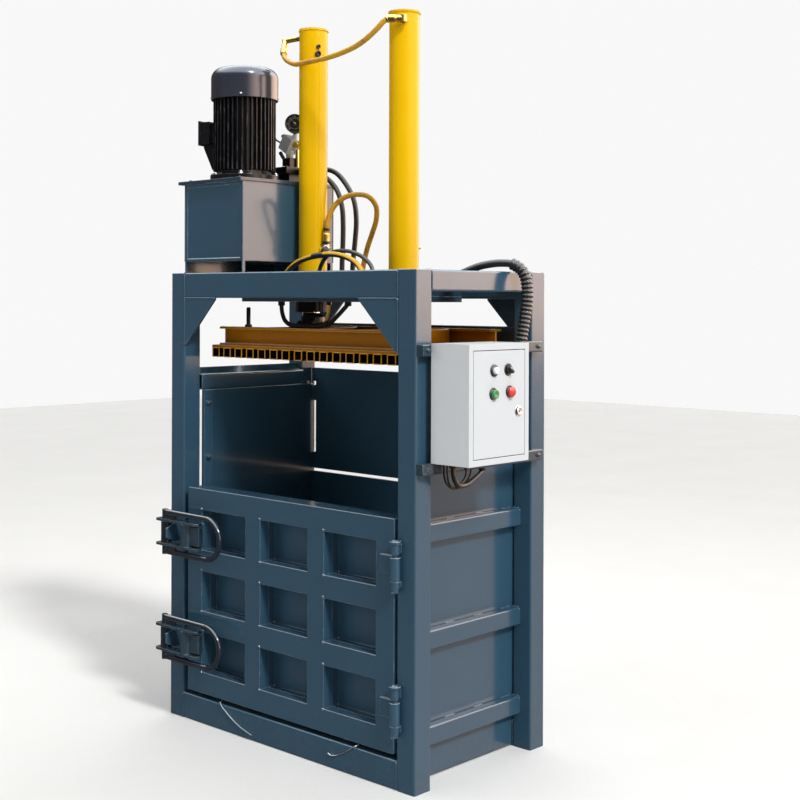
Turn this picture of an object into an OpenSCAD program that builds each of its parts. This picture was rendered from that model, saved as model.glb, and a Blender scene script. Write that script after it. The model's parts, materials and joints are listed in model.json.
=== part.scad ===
// Vertical two-cylinder baling press for cardboard, film and textiles.
// Millimetres. +Z is up, the operator stands at -Y, the control cabinet is at +X.
// The origin is the centre of the frame's footprint, at floor level.

/* [Frame] */
// Overall width of the welded frame
frame_w = 1280; // [1180:10:1500]
// Overall depth of the welded frame
frame_d = 690; // [660:10:900]
// Height of the frame without the cylinders
frame_h = 1700; // [1660:10:1900]
// Side of the square post tube
post = 80; // [76:2:90]
// Wall of the post and beam tubes
tube_wall = 5; // [3:0.5:8]
// Outer corner radius of the tubes
tube_r = 7; // [6:0.5:10]
// Height of the front and rear top beams
front_beam_h = 95; // [85:5:110]
// Height of the two side top beams
side_beam_h = 72; // [60:2:90]
// Leg of the triangular corner gussets
gusset_leg = 180; // [120:10:220]
// Thickness of the corner gussets
gusset_t = 10; // [6:1:16]

/* [Chamber] */
// Sheet thickness of the chamber walls
wall_t = 6; // [4:1:10]
// Distance from the post's outer face to the outer face of a side wall
wall_inset = 85; // [82:1:95]
// Depth of the square ribs on the side walls
rib_d = 35; // [25:1:50]
// Height of the ribs
rib_h = 64; // [40:2:80]
// Height of the sill in front, which the floor lies level with
sill_h = 97; // [80:1:120]
// Thickness of the chamber floor
floor_t = 8; // [6:1:12]
// Width of the strap slots in the floor
slot_w = 26; // [16:2:40]
// Height of the top edge of the chamber's side walls
wall_top = 1250; // [1150:10:1300]
// Height of the side rail on top of each side wall
rail_h = 60; // [40:5:80]
// Height of the light gap across the rear wall
rear_gap_h = 12; // [6:1:20]

/* [Door] */
// Height of the door
door_h = 770; // [700:10:800]
// Thickness of the door
door_t = 80; // [60:2:90]
// Thickness of the door's inner skin
door_skin = 8; // [6:1:12]
// Sheet thickness of the door's box bars
door_sheet = 6; // [4:1:8]
// Width of the frame members of the door
door_bar = 82; // [60:2:100]
// Rows and columns of pockets
door_cells = 3; // [2:1:4]
// Gap beside the door on its latch side
latch_gap = 30; // [20:1:40]
// Gap beside the door on its hinge side
hinge_gap = 12; // [8:1:20]
// Diameter of the hinge pins
hinge_pin_d = 20; // [14:1:26]
// Outer diameter of the long hinge knuckle
knuckle_d = 35; // [28:1:42]
// Length of the long hinge knuckle
knuckle_l = 76; // [64:2:120]

/* [Latches] */
// Diameter of the handle bar
handle_bar_d = 21; // [14:1:24]
// Height of the handle, from bar centre to bar centre
handle_h = 150; // [140:2:190]
// Length of the handle from its pivot to the end of the bend
handle_l = 335; // [280:5:380]
// Thickness of the latch plates
latch_plate_t = 9; // [6:1:12]
// Distance between the middles of the two latch plates
latch_plate_gap = 92; // [80:2:100]
// Diameter of the latch pivot
latch_pin_d = 22; // [16:1:26]

/* [Press] */
// Distance between the two cylinders
cyl_spacing = 480; // [460:5:560]
// Outer diameter of the cylinder barrels
cyl_d = 110; // [102:1:116]
// Bore of the cylinder barrels
cyl_bore = 84; // [76:1:88]
// Diameter of the piston rods
rod_d = 55; // [45:1:60]
// Height of the barrels above the frame
cyl_above = 943; // [930:1:1100]
// Stroke of the press platen
stroke = 850; // [600:10:850]
// Width of the platen
platen_w = 1040; // [960:10:1060]
// Clearance between the platen and the chamber, front and back
platen_gap = 25; // [15:1:40]
// Drop from the top of the frame to the platen's underside with the press open
platen_drop = 322; // [320:1:360]
// Height of the strap channels under the platen
channel_h = 37; // [25:1:50]
// Width of one strap channel
channel_w = 41; // [30:1:50]
// Number of strap channels
channel_count = 16; // [8:1:18]
// Height of the two platen beams
platen_beam_h = 70; // [50:2:80]

/* [Power pack] */
// Width of the oil tank
tank_w = 345; // [300:5:350]
// Depth of the oil tank
tank_d = 470; // [400:5:480]
// Height of the oil tank without its skirt
tank_h = 301; // [250:1:350]
// Clear height under the tank
skirt_h = 45; // [30:1:60]
// Diameter of the motor housing across its fins
motor_d = 244; // [200:2:260]
// Height of the finned motor housing
motor_h = 297; // [220:1:300]
// Number of cooling fins on the motor
fin_count = 40; // [24:2:48]
// Height of the fan cowl
cowl_h = 125; // [100:1:160]

/* [Control cabinet] */
// Width of the cabinet along the side of the frame
cab_w = 306; // [280:2:340]
// Height of the cabinet
cab_h = 388; // [360:1:460]
// Depth of the cabinet with its door
cab_d = 160; // [140:2:180]
// Height of the cabinet's underside
cab_z = 1072; // [1000:1:1100]
// Sheet thickness of the cabinet
cab_t = 2; // [1.5:0.5:3]

/* [Hidden] */

// Colours
slate = "#42525f";
dark_slate = "#35424d";
safety_yellow = "#e0b400";
gold = "#c48a10";
cabinet_grey = "#d4d6d6";
black = "#1b1d20";
steel = "#a9acb0";
brass = "#b58a3c";
cowl_grey = "#4a4c58";

// Clearances
eps = 0.5;
run_gap = 0.08;
free_gap = 0.3;
foot_gap = 6;

// Frame
post_x = frame_w / 2 - post;
post_y = frame_d / 2 - post;
front_y = -frame_d / 2;
door_back_y = front_y + door_t;

// Chamber
wall_out_x = frame_w / 2 - wall_inset;
wall_in_x = wall_out_x - wall_t;
rear_rib_d = 18;
rear_in_y = frame_d / 2 - rear_rib_d - wall_t;
floor_top = sill_h + floor_t;
edge_bar_w = 40;
edge_bar_t = 8;
door_z = sill_h + 18;
door_top = door_z + door_h;
rib_zs = [floor_top + 48, floor_top + 366, floor_top + 721];
slot_count = 5;

// Door and hinges
door_x0 = -post_x + latch_gap;
door_x1 = post_x - hinge_gap;
door_w = door_x1 - door_x0;
cell_w = (door_w - (door_cells + 1) * door_bar) / door_cells;
cell_h = (door_h - (door_cells + 1) * (door_bar - 2)) / door_cells;
hinge_cap_d = knuckle_d + 4;
hinge_x = post_x + 11;
hinge_y = front_y - hinge_cap_d / 2 - free_gap;
hinge_zs = [door_z + 142, door_z + 612];
hinge_low_l = 25;
hinge_top_l = 36;
hinge_gap_low = 1.5;
hinge_gap_top = 10;
leaf_t = 8;
leaf_low = 22;

// Latches
latch_zs = [door_z + 199, door_z + 599];
latch_y = front_y - 57;
latch_x = -frame_w / 2 + 40;
latch_plate_d = 40;
latch_plate_x0 = latch_x - 37;
latch_plate_x1 = door_x0 + 138;
latch_in_h = latch_plate_gap - latch_plate_t;
cam_r = 21;
cam_shift = 4;
lug_t = 8;
lug_x = -post_x - lug_t - 1;

// Press
cyl_y = (door_back_y + rear_in_y) / 2;
cyl_xs = [-cyl_spacing / 2, cyl_spacing / 2];
barrel_z0 = frame_h - 140;
barrel_z1 = frame_h + cyl_above;
cap_t = 18;
gland_h = 46;
gland_nut_d = cyl_d + 24;
bridge_z = frame_h - 108;
bridge_t = 20;
bridge_w = cyl_spacing + 150;
platen_d = rear_in_y - door_back_y - 2 * platen_gap;
platen_z = frame_h - platen_drop;
platen_plate_z = platen_z + channel_h;
platen_plate_t = 10;
beam_z = platen_plate_z + platen_plate_t;
platen_top = beam_z + platen_beam_h;
beam_flange = 62;
beam_web = 8;
platen_beam_l = platen_w - 70;
platen_beam_y = platen_d / 2 - beam_flange / 2 - 8;
rod_foot_d = 96;
rod_foot_t = 14;
piston_h = 60;
piston_z = barrel_z1 - cap_t - 90 - piston_h;

// Power pack
tank_x1 = -cyl_spacing / 2 - cyl_d / 2 - 10;
tank_x0 = tank_x1 - tank_w;
tank_y0 = front_y + 73;
tank_z = frame_h + skirt_h;
tank_t = 4;
tank_leg = 13;
lid_t = 12;
lid_z = tank_z + tank_h;
lid_top = lid_z + lid_t;
motor_x = (tank_x0 + tank_x1) / 2 - 8;
motor_y = tank_y0 + 162;
flange_h = 30;
motor_z = lid_top + flange_h;
motor_top = motor_z + motor_h;
stator_d = motor_d - 44;
motor_foot_t = 24;
cowl_shoulder = 42;
shaft_d = 28;
bearer_y = tank_y0 + tank_d - 20;
valve_x = tank_x1 - 125;
valve_y = motor_y + 200;
valve_base_h = 68;
valve_block_h = 108;
gauge_z = 204;
valve_port_z = 52;
valve_port_ys = [8, 38];

// Control cabinet
cab_x0 = frame_w / 2 + 29;
cab_x1 = cab_x0 + cab_d;
cab_y0 = front_y + 43;
cab_y1 = cab_y0 + cab_w;
cab_top = cab_z + cab_h;
cab_door_t = 14;
cab_door_x = cab_x1 - cab_door_t;
cab_rim = 20;
cab_seam = 2.5;
cab_hinge_y = cab_y0 + cab_rim + cab_seam + 5.5;
cab_hinge_x = cab_x1 - 5;
cab_pin_d = 5;
control_x = cab_x1;
rail_zs = [cab_z - 19, cab_z + 365];
rail_tube_h = 38;

// Basic shapes

// Rounded rectangle with true arcs at its corners
module rounded_rect(w, h, r) {
    translate([-w / 2 + r, -h / 2]) square([w - 2 * r, h]);
    translate([-w / 2, -h / 2 + r]) square([w, h - 2 * r]);
    for (sx = [-1, 1], sy = [-1, 1])
        translate([sx * (w / 2 - r), sy * (h / 2 - r)]) circle(r, $fn = 32);
}

// Hollow tube section, open at both ends
module tube_section(w, h, r = tube_r, t = tube_wall) {
    difference() {
        rounded_rect(w, h, r);
        rounded_rect(w - 2 * t, h - 2 * t, max(r - t, 1));
    }
}

// Square tube that stands on the floor, closed by a cap on top
module post_tube() {
    linear_extrude(frame_h - tube_wall) tube_section(post, post);
    translate([0, 0, frame_h - tube_wall]) linear_extrude(tube_wall) rounded_rect(post, post, tube_r);
}

// Tube that runs along X, centred on its length
module tube_x(l, d, h, r = tube_r, t = tube_wall) {
    rotate([90, 0, 90]) translate([0, 0, -l / 2]) linear_extrude(l) tube_section(d, h, r, t);
}

// Tube that runs along Y, centred on its length
module tube_y(l, w, h, r = tube_r, t = tube_wall) {
    rotate([90, 0, 0]) translate([0, 0, -l / 2]) linear_extrude(l) tube_section(w, h, r, t);
}

// Box given by its lowest and highest corners
module box(a, b) {
    translate(a) cube(b - a);
}

// Upright ring
module ring(d, bore, h) {
    difference() {
        cylinder(d = d, h = h, $fn = 64);
        translate([0, 0, -1]) cylinder(d = bore, h = h + 2, $fn = 64);
    }
}

// Hexagon bolt head with its washer, along +Z
module bolt_head(d) {
    cylinder(d = 2.1 * d, h = 0.2 * d, $fn = 24);
    translate([0, 0, 0.2 * d]) cylinder(d = 1.75 * d, h = 0.65 * d, $fn = 6);
}

// Frame

module front_left_post() {
    color(slate) translate([-frame_w / 2 + post / 2, front_y + post / 2, 0]) post_tube();
}

module front_right_post() {
    color(slate) translate([frame_w / 2 - post / 2, front_y + post / 2, 0]) post_tube();
}

module rear_posts() {
    color(slate) for (s = [-1, 1])
        translate([s * (frame_w / 2 - post / 2), -front_y - post / 2, 0]) post_tube();
}

module front_top_beam() {
    color(slate) translate([0, front_y + post / 2, frame_h - front_beam_h / 2])
        tube_x(2 * post_x, post, front_beam_h);
}

module rear_top_beam() {
    color(slate) translate([0, -front_y - post / 2, frame_h - front_beam_h / 2])
        tube_x(2 * post_x, post, front_beam_h);
}

module side_top_beams() {
    color(slate) for (s = [-1, 1])
        translate([s * (frame_w / 2 - post / 2), 0, frame_h - side_beam_h / 2])
            tube_y(2 * post_y, post, side_beam_h);
}

// Triangular plates between the posts and the top beams, front and rear
module corner_gussets() {
    top_z = frame_h - front_beam_h;
    color(slate) for (sx = [-1, 1], sy = [-1, 1])
        scale([sx, 1, 1])
            translate([post_x, sy * (-front_y - gusset_t / 2) + gusset_t / 2, top_z])
                rotate([90, 0, 0]) linear_extrude(gusset_t)
                    polygon([[0, 0], [-gusset_leg, 0], [-gusset_leg, -6], [-6, -gusset_leg], [0, -gusset_leg]]);
}

module front_sill() {
    color(slate) translate([0, front_y + post / 2, sill_h / 2]) tube_x(2 * post_x, post, sill_h);
}

// Rear sill, two side sills and the centre bearer under the chamber floor
module floor_bearers() {
    inner = 2 * post_y;
    color(dark_slate) {
        translate([0, -front_y - post / 2, sill_h / 2]) tube_x(2 * post_x, post, sill_h);
        for (x = [-post_x + 60, 0, post_x - 60])
            translate([x, 0, sill_h / 2]) tube_y(inner, post, sill_h);
    }
}

// Floor plate with slots that the baling wires are threaded along
module chamber_floor() {
    y0 = door_back_y + 4;
    pitch = 2 * wall_in_x / slot_count;
    color(dark_slate) difference() {
        box([-wall_in_x + 1, y0, sill_h], [wall_in_x - 1, rear_in_y, floor_top]);
        for (i = [0:slot_count - 1])
            translate([(i - (slot_count - 1) / 2) * pitch + pitch * 0.2, 0, sill_h - 1])
                linear_extrude(floor_t + 2) translate([0, (y0 + rear_in_y) / 2])
                    rounded_rect(slot_w, rear_in_y - y0 - 60, slot_w / 2 - 0.5);
    }
}

// Side wall with the flat bar that stiffens its front edge, for the left side
module side_wall() {
    y0 = door_back_y + 3;
    box([-wall_out_x, y0, sill_h], [-wall_in_x, rear_in_y, wall_top]);
    box([-wall_out_x, y0, foot_gap], [-wall_in_x, post_y - free_gap, sill_h + eps]);
    box([-wall_in_x - eps, y0, floor_top], [-wall_in_x + edge_bar_t, y0 + edge_bar_w, wall_top]);
}

module left_wall() {
    color(slate) side_wall();
}

module right_wall() {
    color(slate) mirror([1, 0, 0]) side_wall();
}

// Square ribs across the outside of the side walls and flat ribs across the rear
module wall_ribs() {
    color(slate) {
        for (s = [-1, 1], z = rib_zs)
            translate([s * (wall_out_x + rib_d / 2), 0, z]) tube_y(2 * post_y, rib_d, rib_h, 6, 4);
        for (z = concat(rib_zs, [wall_top - 40]))
            translate([0, -front_y - rear_rib_d / 2, z]) tube_x(2 * post_x, rear_rib_d, rib_h, 4, 3);
    }
}

module rear_wall_lower() {
    color(slate) box([-wall_out_x, rear_in_y, sill_h], [wall_out_x, rear_in_y + wall_t, door_top]);
}

// Upper rear wall with the narrow slot at its left edge
module rear_wall_upper() {
    color(slate) difference() {
        box([-wall_out_x, rear_in_y, door_top + rear_gap_h], [wall_out_x, rear_in_y + wall_t, wall_top + 66]);
        box([-wall_in_x, rear_in_y - 1, door_top + 80], [-wall_in_x + 18, rear_in_y + wall_t + 1, wall_top + 10]);
    }
}

// Rail on top of each side wall with a lip that leans outwards and guides the material in
module hopper_rails() {
    color(slate) for (s = [-1, 1])
        scale([s, 1, 1]) {
            translate([wall_in_x + 20, 0, wall_top + rail_h / 2]) tube_y(2 * post_y, 40, rail_h, 6, 4);
            translate([wall_in_x, post_y, wall_top + rail_h]) rotate([90, 0, 0])
                linear_extrude(2 * post_y)
                    polygon([[12, -eps], [38, 26], [42, 23], [19, -eps]]);
        }
}

// Press

// Plate between the front and rear beams that carries the two cylinders
module cylinder_bridge() {
    color(dark_slate) difference() {
        union() {
            box([-bridge_w / 2, -post_y, bridge_z], [bridge_w / 2, post_y, bridge_z + bridge_t]);
            for (x = cyl_xs, s = [-1, 1])
                translate([x + s * (cyl_d / 2 + 13), 0, bridge_z + bridge_t])
                    box([-4, -post_y, -eps], [4, post_y, 26]);
        }
        for (x = cyl_xs)
            translate([x, cyl_y, bridge_z - 1]) cylinder(d = cyl_d + 2 * free_gap, h = bridge_t + 2, $fn = 64);
    }
}

// Rail behind the cylinders that carries the rear of the oil tank
module tank_bearer() {
    color(dark_slate) translate([0, bearer_y, frame_h - 30]) tube_x(2 * post_x, 40, 60, 6, 4);
}

// Barrel with its welded end cap and the mounting flange that bears on the bridge
module cylinder_barrel(cap_lip) {
    color(safety_yellow) difference() {
        union() {
            translate([0, 0, barrel_z0]) cylinder(d = cyl_d, h = barrel_z1 - barrel_z0 - 5, $fn = 96);
            translate([0, 0, barrel_z1 - 7]) cylinder(d = cyl_d + cap_lip, h = 7, $fn = 96);
            translate([0, 0, bridge_z + bridge_t]) cylinder(d = cyl_d + 14, h = 14, $fn = 96);
        }
        translate([0, 0, barrel_z0 - 1]) cylinder(d = cyl_bore, h = barrel_z1 - cap_t - barrel_z0 + 1, $fn = 96);
    }
}

module left_cylinder() {
    translate([cyl_xs[0], cyl_y, 0]) cylinder_barrel(2);
}

module right_cylinder() {
    translate([cyl_xs[1], cyl_y, 0]) cylinder_barrel(8);
}

// Gland nut that holds the barrel under the bridge and closes it round the rod
module cylinder_glands() {
    nut_h = bridge_z - barrel_z0 - free_gap;
    color(black) for (x = cyl_xs)
        translate([x, cyl_y, barrel_z0]) difference() {
            union() {
                translate([0, 0, -8]) cylinder(d = gland_nut_d, h = 8, $fn = 64);
                cylinder(d = cyl_bore - 2 * free_gap, h = gland_h, $fn = 64);
                difference() {
                    translate([0, 0, -1]) cylinder(d = gland_nut_d, h = nut_h + 1, $fn = 64);
                    cylinder(d = cyl_d + 2 * free_gap, h = nut_h + 1, $fn = 64);
                }
            }
            translate([0, 0, -9]) cylinder(d = rod_d + 2 * run_gap, h = gland_h + 10, $fn = 64);
        }
}

module left_rod() {
    translate([cyl_xs[0], cyl_y, 0]) press_rod();
}

module right_rod() {
    translate([cyl_xs[1], cyl_y, 0]) press_rod();
}

// Piston rod with its piston on top and its bolted foot on the platen
module press_rod() {
    color(steel) {
        translate([0, 0, platen_top]) cylinder(d = rod_foot_d, h = rod_foot_t, $fn = 64);
        translate([0, 0, platen_top + rod_foot_t - eps])
            cylinder(d = rod_d, h = piston_z - platen_top - rod_foot_t + 2 * eps, $fn = 64);
        translate([0, 0, piston_z]) cylinder(d = cyl_bore - 2 * run_gap, h = piston_h, $fn = 96);
        for (a = [45:90:315])
            rotate(a) translate([rod_foot_d / 2 - 11, 0, platen_top + rod_foot_t - 0.2]) bolt_head(8);
    }
}

module platen_plate() {
    color(gold) translate([0, cyl_y, platen_plate_z])
        box([-platen_w / 2, -platen_d / 2, 0], [platen_w / 2, platen_d / 2, platen_plate_t]);
}

// Square channels under the plate; the wires pass between them
module platen_channels() {
    pitch = (platen_w - channel_w) / (channel_count - 1);
    color(safety_yellow) for (i = [0:channel_count - 1])
        translate([-platen_w / 2 + channel_w / 2 + i * pitch, cyl_y, platen_z + channel_h / 2])
            tube_y(platen_d, channel_w, channel_h, 5, 3);
}

// I-section beam along X, standing on the platen plate
module platen_beam(l) {
    h = platen_beam_h;
    rotate([90, 0, 90]) translate([0, 0, -l / 2]) linear_extrude(l) {
        translate([-beam_flange / 2, 0]) square([beam_flange, beam_web]);
        translate([-beam_flange / 2, h - beam_web]) square([beam_flange, beam_web]);
        translate([-beam_web / 2, 0]) square([beam_web, h]);
    }
}

// Two long beams with cross boxes under the rods, and the striker of the stroke switch
module platen_beams() {
    striker_x = -platen_w / 2 + 168;
    cross_l = 2 * platen_beam_y - beam_flange;
    color(gold) translate([0, cyl_y, beam_z]) {
        for (s = [-1, 1])
            translate([0, s * platen_beam_y, 0]) platen_beam(platen_beam_l);
        for (x = cyl_xs) {
            translate([x, 0, platen_beam_h / 2]) tube_y(cross_l, rod_foot_d, platen_beam_h, 6, 8);
            for (s = [-1, 1])
                translate([x, s * (cross_l / 2 + beam_flange / 4 - beam_web / 4), platen_beam_h / 2])
                    cube([beam_web, beam_flange / 2 - beam_web / 2 + eps, platen_beam_h - 2 * beam_web + eps], true);
        }
    }
    color(black) translate([striker_x, cyl_y - platen_beam_y, platen_top - eps]) {
        cylinder(d = 12, h = 75, $fn = 24);
        cylinder(d = 24, h = 8, $fn = 6);
    }
}

// Weld-on ports and hose fittings of the cylinders, and the hose blocks on the bridge
module port_fittings() {
    bridge_top = bridge_z + bridge_t + free_gap;
    elbow_reach = 106.7;
    port_reach = 77;
    color(brass) {
        // cap-side ports with their elbows
        translate([cyl_xs[0] - cyl_d / 2 - free_gap, cyl_y, barrel_z1 - 22]) {
            rotate([0, -90, 0]) fitting(20, 42);
            rotate([0, -90, 0]) cylinder(d = 20, h = elbow_reach, $fn = 32);
            translate([-elbow_reach, 0, 0]) sphere(d = 27, $fn = 32);
            translate([-elbow_reach, 0, 0]) rotate([0, 145.1, -52.1]) cylinder(d = 24, h = 37.7, $fn = 32);
        }
        translate([cyl_xs[1], cyl_y, barrel_z1 - 38]) rotate(-50) {
            translate([cyl_d / 2 + free_gap, 0, 0]) rotate([0, 90, 0]) fitting(20, 24);
            translate([port_reach, 0, -13]) cylinder(d = 26, h = 26, $fn = 32);
            translate([port_reach, 0, 0]) rotate([90, 0, 0]) cylinder(d = 24, h = 24, $fn = 32);
        }
        // rod-side port of the left cylinder, with its elbow
        translate([cyl_xs[0] + cyl_d / 2 + free_gap, cyl_y, frame_h + 92]) {
            rotate([0, 90, 0]) fitting(18, 22);
            translate([20, 0, -12]) cylinder(d = 24, h = 34, $fn = 32);
        }
        // rod-side port of the right cylinder
        translate([cyl_xs[1], cyl_y + cyl_d / 2 + free_gap, frame_h + 92]) rotate([-90, 0, 0]) fitting(18, 30);
    }
    color(black) {
        box([-166, 84, bridge_top], [-44, 150, bridge_top + 34]);
        for (p = front_ends)
            translate([p[0], p[1], bridge_top]) cylinder(d = 34, h = 30, $fn = 6);
    }
}

// Stepped hose fitting along +Z with a hexagon in the middle
module fitting(d, l) {
    cylinder(d = d + 8, h = 5, $fn = 32);
    cylinder(d = d - 6, h = l, $fn = 32);
    translate([0, 0, l * 0.3]) cylinder(d = d + 2, h = l * 0.4, $fn = 6);
}

// Power pack

// Welded tank on a skirt that is open under the tank at the front
module oil_tank() {
    color(slate) {
        difference() {
            box([tank_x0, tank_y0, tank_z], [tank_x1, tank_y0 + tank_d, lid_z]);
            box([tank_x0 + tank_t, tank_y0 + tank_t, tank_z + tank_t],
                [tank_x1 - tank_t, tank_y0 + tank_d - tank_t, lid_z + 1]);
            box([tank_x0 + 14, tank_y0 - 1, tank_z + 12], [tank_x1 - 14, tank_y0 + 2.5, lid_z - 12]);
        }
        box([tank_x0, tank_y0, frame_h], [tank_x0 + tank_t, tank_y0 + tank_d, tank_z + eps]);
        for (y = [tank_y0, tank_y0 + tank_d - tank_leg])
            box([tank_x1 - tank_t, y, frame_h], [tank_x1, y + tank_leg, tank_z + eps]);
        box([tank_x0 + 1, tank_y0 + tank_d - tank_t, frame_h], [tank_x1 - 1, tank_y0 + tank_d, tank_z + eps]);
    }
}

module tank_lid() {
    color(dark_slate) difference() {
        union() {
            translate([(tank_x0 + tank_x1) / 2 - 8, tank_y0 + tank_d / 2, lid_z])
                linear_extrude(lid_t) rounded_rect(tank_w + 32, tank_d + 36, 5);
            for (p = [[18, 14], [tank_w - 34, 14], [18, tank_d - 14], [tank_w - 34, tank_d - 14]])
                translate([tank_x0 + p[0], tank_y0 + p[1], lid_top - 0.2]) bolt_head(8);
        }
        translate([motor_x, motor_y, lid_z - 1]) cylinder(d = 120, h = lid_t + 2, $fn = 64);
    }
}

// Filler cap with its air filter
module tank_breather() {
    color(black) translate([tank_x0 + 70, tank_y0 + tank_d - 70, lid_top]) {
        cylinder(d = 62, h = 6, $fn = 48);
        translate([0, 0, 6 - eps]) cylinder(d = 44, h = 12, $fn = 48);
        translate([0, 0, 18 - eps]) cylinder(d = 66, h = 34, $fn = 48);
        translate([0, 0, 52 - eps]) cylinder(d = 54, h = 6, $fn = 48);
    }
}

// Gear pump that hangs in the oil under the motor, with its suction strainer
module gear_pump() {
    pump_z = lid_z - 150;
    color(steel) translate([motor_x, motor_y, 0]) {
        translate([0, 0, pump_z]) difference() {
            union() {
                cylinder(d = 110, h = 150, $fn = 48);
                translate([0, 0, 150 - eps]) cylinder(d = 116, h = lid_t + eps, $fn = 64);
            }
            translate([0, 0, 30]) cylinder(d = 80, h = 160, $fn = 48);
        }
        translate([-40, -32, pump_z - 70]) cube([80, 64, 70 + eps]);
        translate([0, 0, pump_z - 120]) cylinder(d = 50, h = 50 + eps, $fn = 32);
    }
}

// Finned motor housing with its end shield and foot flange
module motor_body() {
    flange_d = motor_d + 22;
    fin_t = 4;
    color(black) translate([motor_x, motor_y, 0]) {
        translate([0, 0, motor_z]) difference() {
            union() {
                cylinder(d = stator_d, h = motor_h, $fn = 96);
                for (i = [0:fin_count - 1])
                    rotate(i * 360 / fin_count) translate([stator_d / 2 - 2, -fin_t / 2, 12])
                        cube([(motor_d - stator_d) / 2 + 2, fin_t, motor_h - 18]);
            }
            translate([0, 0, 14]) cylinder(d = stator_d - 40, h = motor_h, $fn = 96);
            translate([0, 0, -1]) cylinder(d = shaft_d + 2 * run_gap, h = 20, $fn = 48);
        }
        translate([0, 0, lid_top]) difference() {
            union() {
                cylinder(d = flange_d, h = motor_foot_t, $fn = 96);
                cylinder(d = stator_d + 16, h = flange_h + 8, $fn = 96);
            }
            translate([0, 0, -1]) cylinder(d = shaft_d + 2 * run_gap, h = flange_h + 10, $fn = 48);
        }
        for (a = [30:60:330])
            rotate(a) translate([flange_d / 2 - 13, 0, lid_top + motor_foot_t - 0.2]) bolt_head(9);
    }
}

// Domed sheet cowl over the fan
module motor_cowl() {
    h = cowl_h;
    color(cowl_grey) translate([motor_x, motor_y, motor_top - 8]) difference() {
        cowl_shell(motor_d / 2 + 9, h, 3);
        // air intake in the crown, rings crossed by six spokes
        translate([0, 0, h - 4]) difference() {
            for (i = [0:5])
                ring(46 + i * 22, 36 + i * 22, 5);
            for (a = [0:60:120])
                rotate(a) translate([-90, -3, -1]) cube([180, 6, 7]);
        }
    }
    // tabs that carry the cowl on the motor's fins
    color(cowl_grey) translate([motor_x, motor_y, motor_top - 8])
        for (a = [30:90:300])
            rotate(a) translate([motor_d / 2 + 0.2, -9, 0]) cube([7, 18, 8]);
}

// Cap with a rounded shoulder, turned about Z
module cowl_shell(r, h, t) {
    s = cowl_shoulder;
    rotate_extrude($fn = 96) difference() {
        union() {
            square([r, h - s]);
            translate([0, h - s - 1]) square([r - s, s + 1]);
            intersection() {
                translate([r - s, h - s]) circle(s, $fn = 64);
                translate([r - s - 1, h - s - 1]) square([s + 2, s + 2]);
            }
        }
        translate([-1, -1]) square([r - t + 1, h - s + 1]);
        translate([-1, h - s - 2]) square([r - s + 1, s + 2 - t]);
        intersection() {
            translate([r - s, h - s]) circle(s - t, $fn = 64);
            translate([r - s - 1, h - s - 1]) square([s + 2, s + 2]);
        }
    }
}

// Shaft, rotor core and cooling fan, one turning piece
module motor_rotor() {
    core_d = stator_d - 52;
    fan_z = motor_top + 20;
    hub_z = lid_z - 90;
    color(steel) translate([motor_x, motor_y, 0]) {
        translate([0, 0, hub_z]) cylinder(d = shaft_d, h = fan_z + 46 - hub_z, $fn = 48);
        translate([0, 0, motor_z + 40]) cylinder(d = core_d, h = motor_h - 80, $fn = 64);
        translate([0, 0, fan_z]) cylinder(d = 70, h = 40, $fn = 48);
        for (a = [0:45:315])
            rotate(a) translate([30, -2, fan_z]) cube([motor_d / 2 - 44, 4, 34]);
    }
}

// Cable box on the left side of the motor, on its cast wedge-shaped foot
module terminal_box() {
    r = motor_d / 2;
    color(black) translate([motor_x, motor_y, motor_z + 128]) rotate(198) {
        translate([r + free_gap, -40, 0]) cube([12, 80, 76]);
        translate([r + 10, -48, -6]) cube([42, 96, 88]);
        translate([r + 51, -52, -10]) cube([9, 104, 96]);
        translate([0, 30, 0]) rotate([90, 0, 0]) linear_extrude(60)
            polygon([[r + free_gap, 1], [r + free_gap, -106], [r + 8, -106], [r + 48, -18], [r + 48, 1]]);
    }
}

// Valve block on its base plate beside the motor, with two hose ports on its right
module valve_manifold() {
    color(black) translate([valve_x, valve_y, lid_top]) {
        difference() {
            union() {
                box([-34, -46, 0], [34, 46, valve_base_h]);
                box([-72, -60, valve_base_h - 26], [34, 60, valve_base_h]);
            }
            for (y = valve_port_ys)
                translate([-35, y, valve_port_z / 2]) rotate([0, 90, 0]) cylinder(d = 14, h = 12, $fn = 24);
        }
        translate([-16, 5, 0]) box([-22, -22, valve_base_h - eps], [22, 22, valve_block_h]);
        for (y = valve_port_ys)
            translate([34 - eps, y, valve_port_z]) rotate([0, 90, 0]) cylinder(d = 24, h = 16, $fn = 6);
        for (x = [-64, 24], y = [-52, 52])
            translate([x, y, valve_base_h - 0.2]) bolt_head(6);
    }
}

// Valve body, tilted on its neck, with the coil at its rear and the boss of the gauge
module solenoid_valve() {
    h = gauge_z - valve_block_h;
    color(steel) translate([valve_x - 19, valve_y + 2, lid_top + valve_block_h]) {
        translate([0, 3, 0]) cylinder(d = 30, h = h / 2, $fn = 48);
        translate([0, 0, 56]) rotate([0, 32, 0]) {
            box([-27, -24, -31], [27, 24, 31]);
            translate([0, 24 - eps, 0]) rotate([-90, 0, 0]) cylinder(d = 42, h = 52, $fn = 48);
            translate([0, 75, 0]) rotate([-90, 0, 0]) cylinder(d = 18, h = 10, $fn = 24);
        }
        translate([17, 16, 52]) cylinder(d = 20, h = h - 52, $fn = 32);
    }
}

// Pressure gauge that faces the operator, on the boss of the valve body
module pressure_gauge() {
    color(black) translate([valve_x - 2, valve_y + 18, lid_top + gauge_z + free_gap]) {
        cylinder(d = 14, h = 14, $fn = 24);
        translate([0, 0, 42]) rotate([90, 0, 40]) translate([0, 0, -14]) difference() {
            cylinder(d = 77, h = 28, $fn = 64);
            translate([0, 0, 23]) cylinder(d = 67, h = 6, $fn = 64);
        }
    }
}

// Hoses and cables

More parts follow.
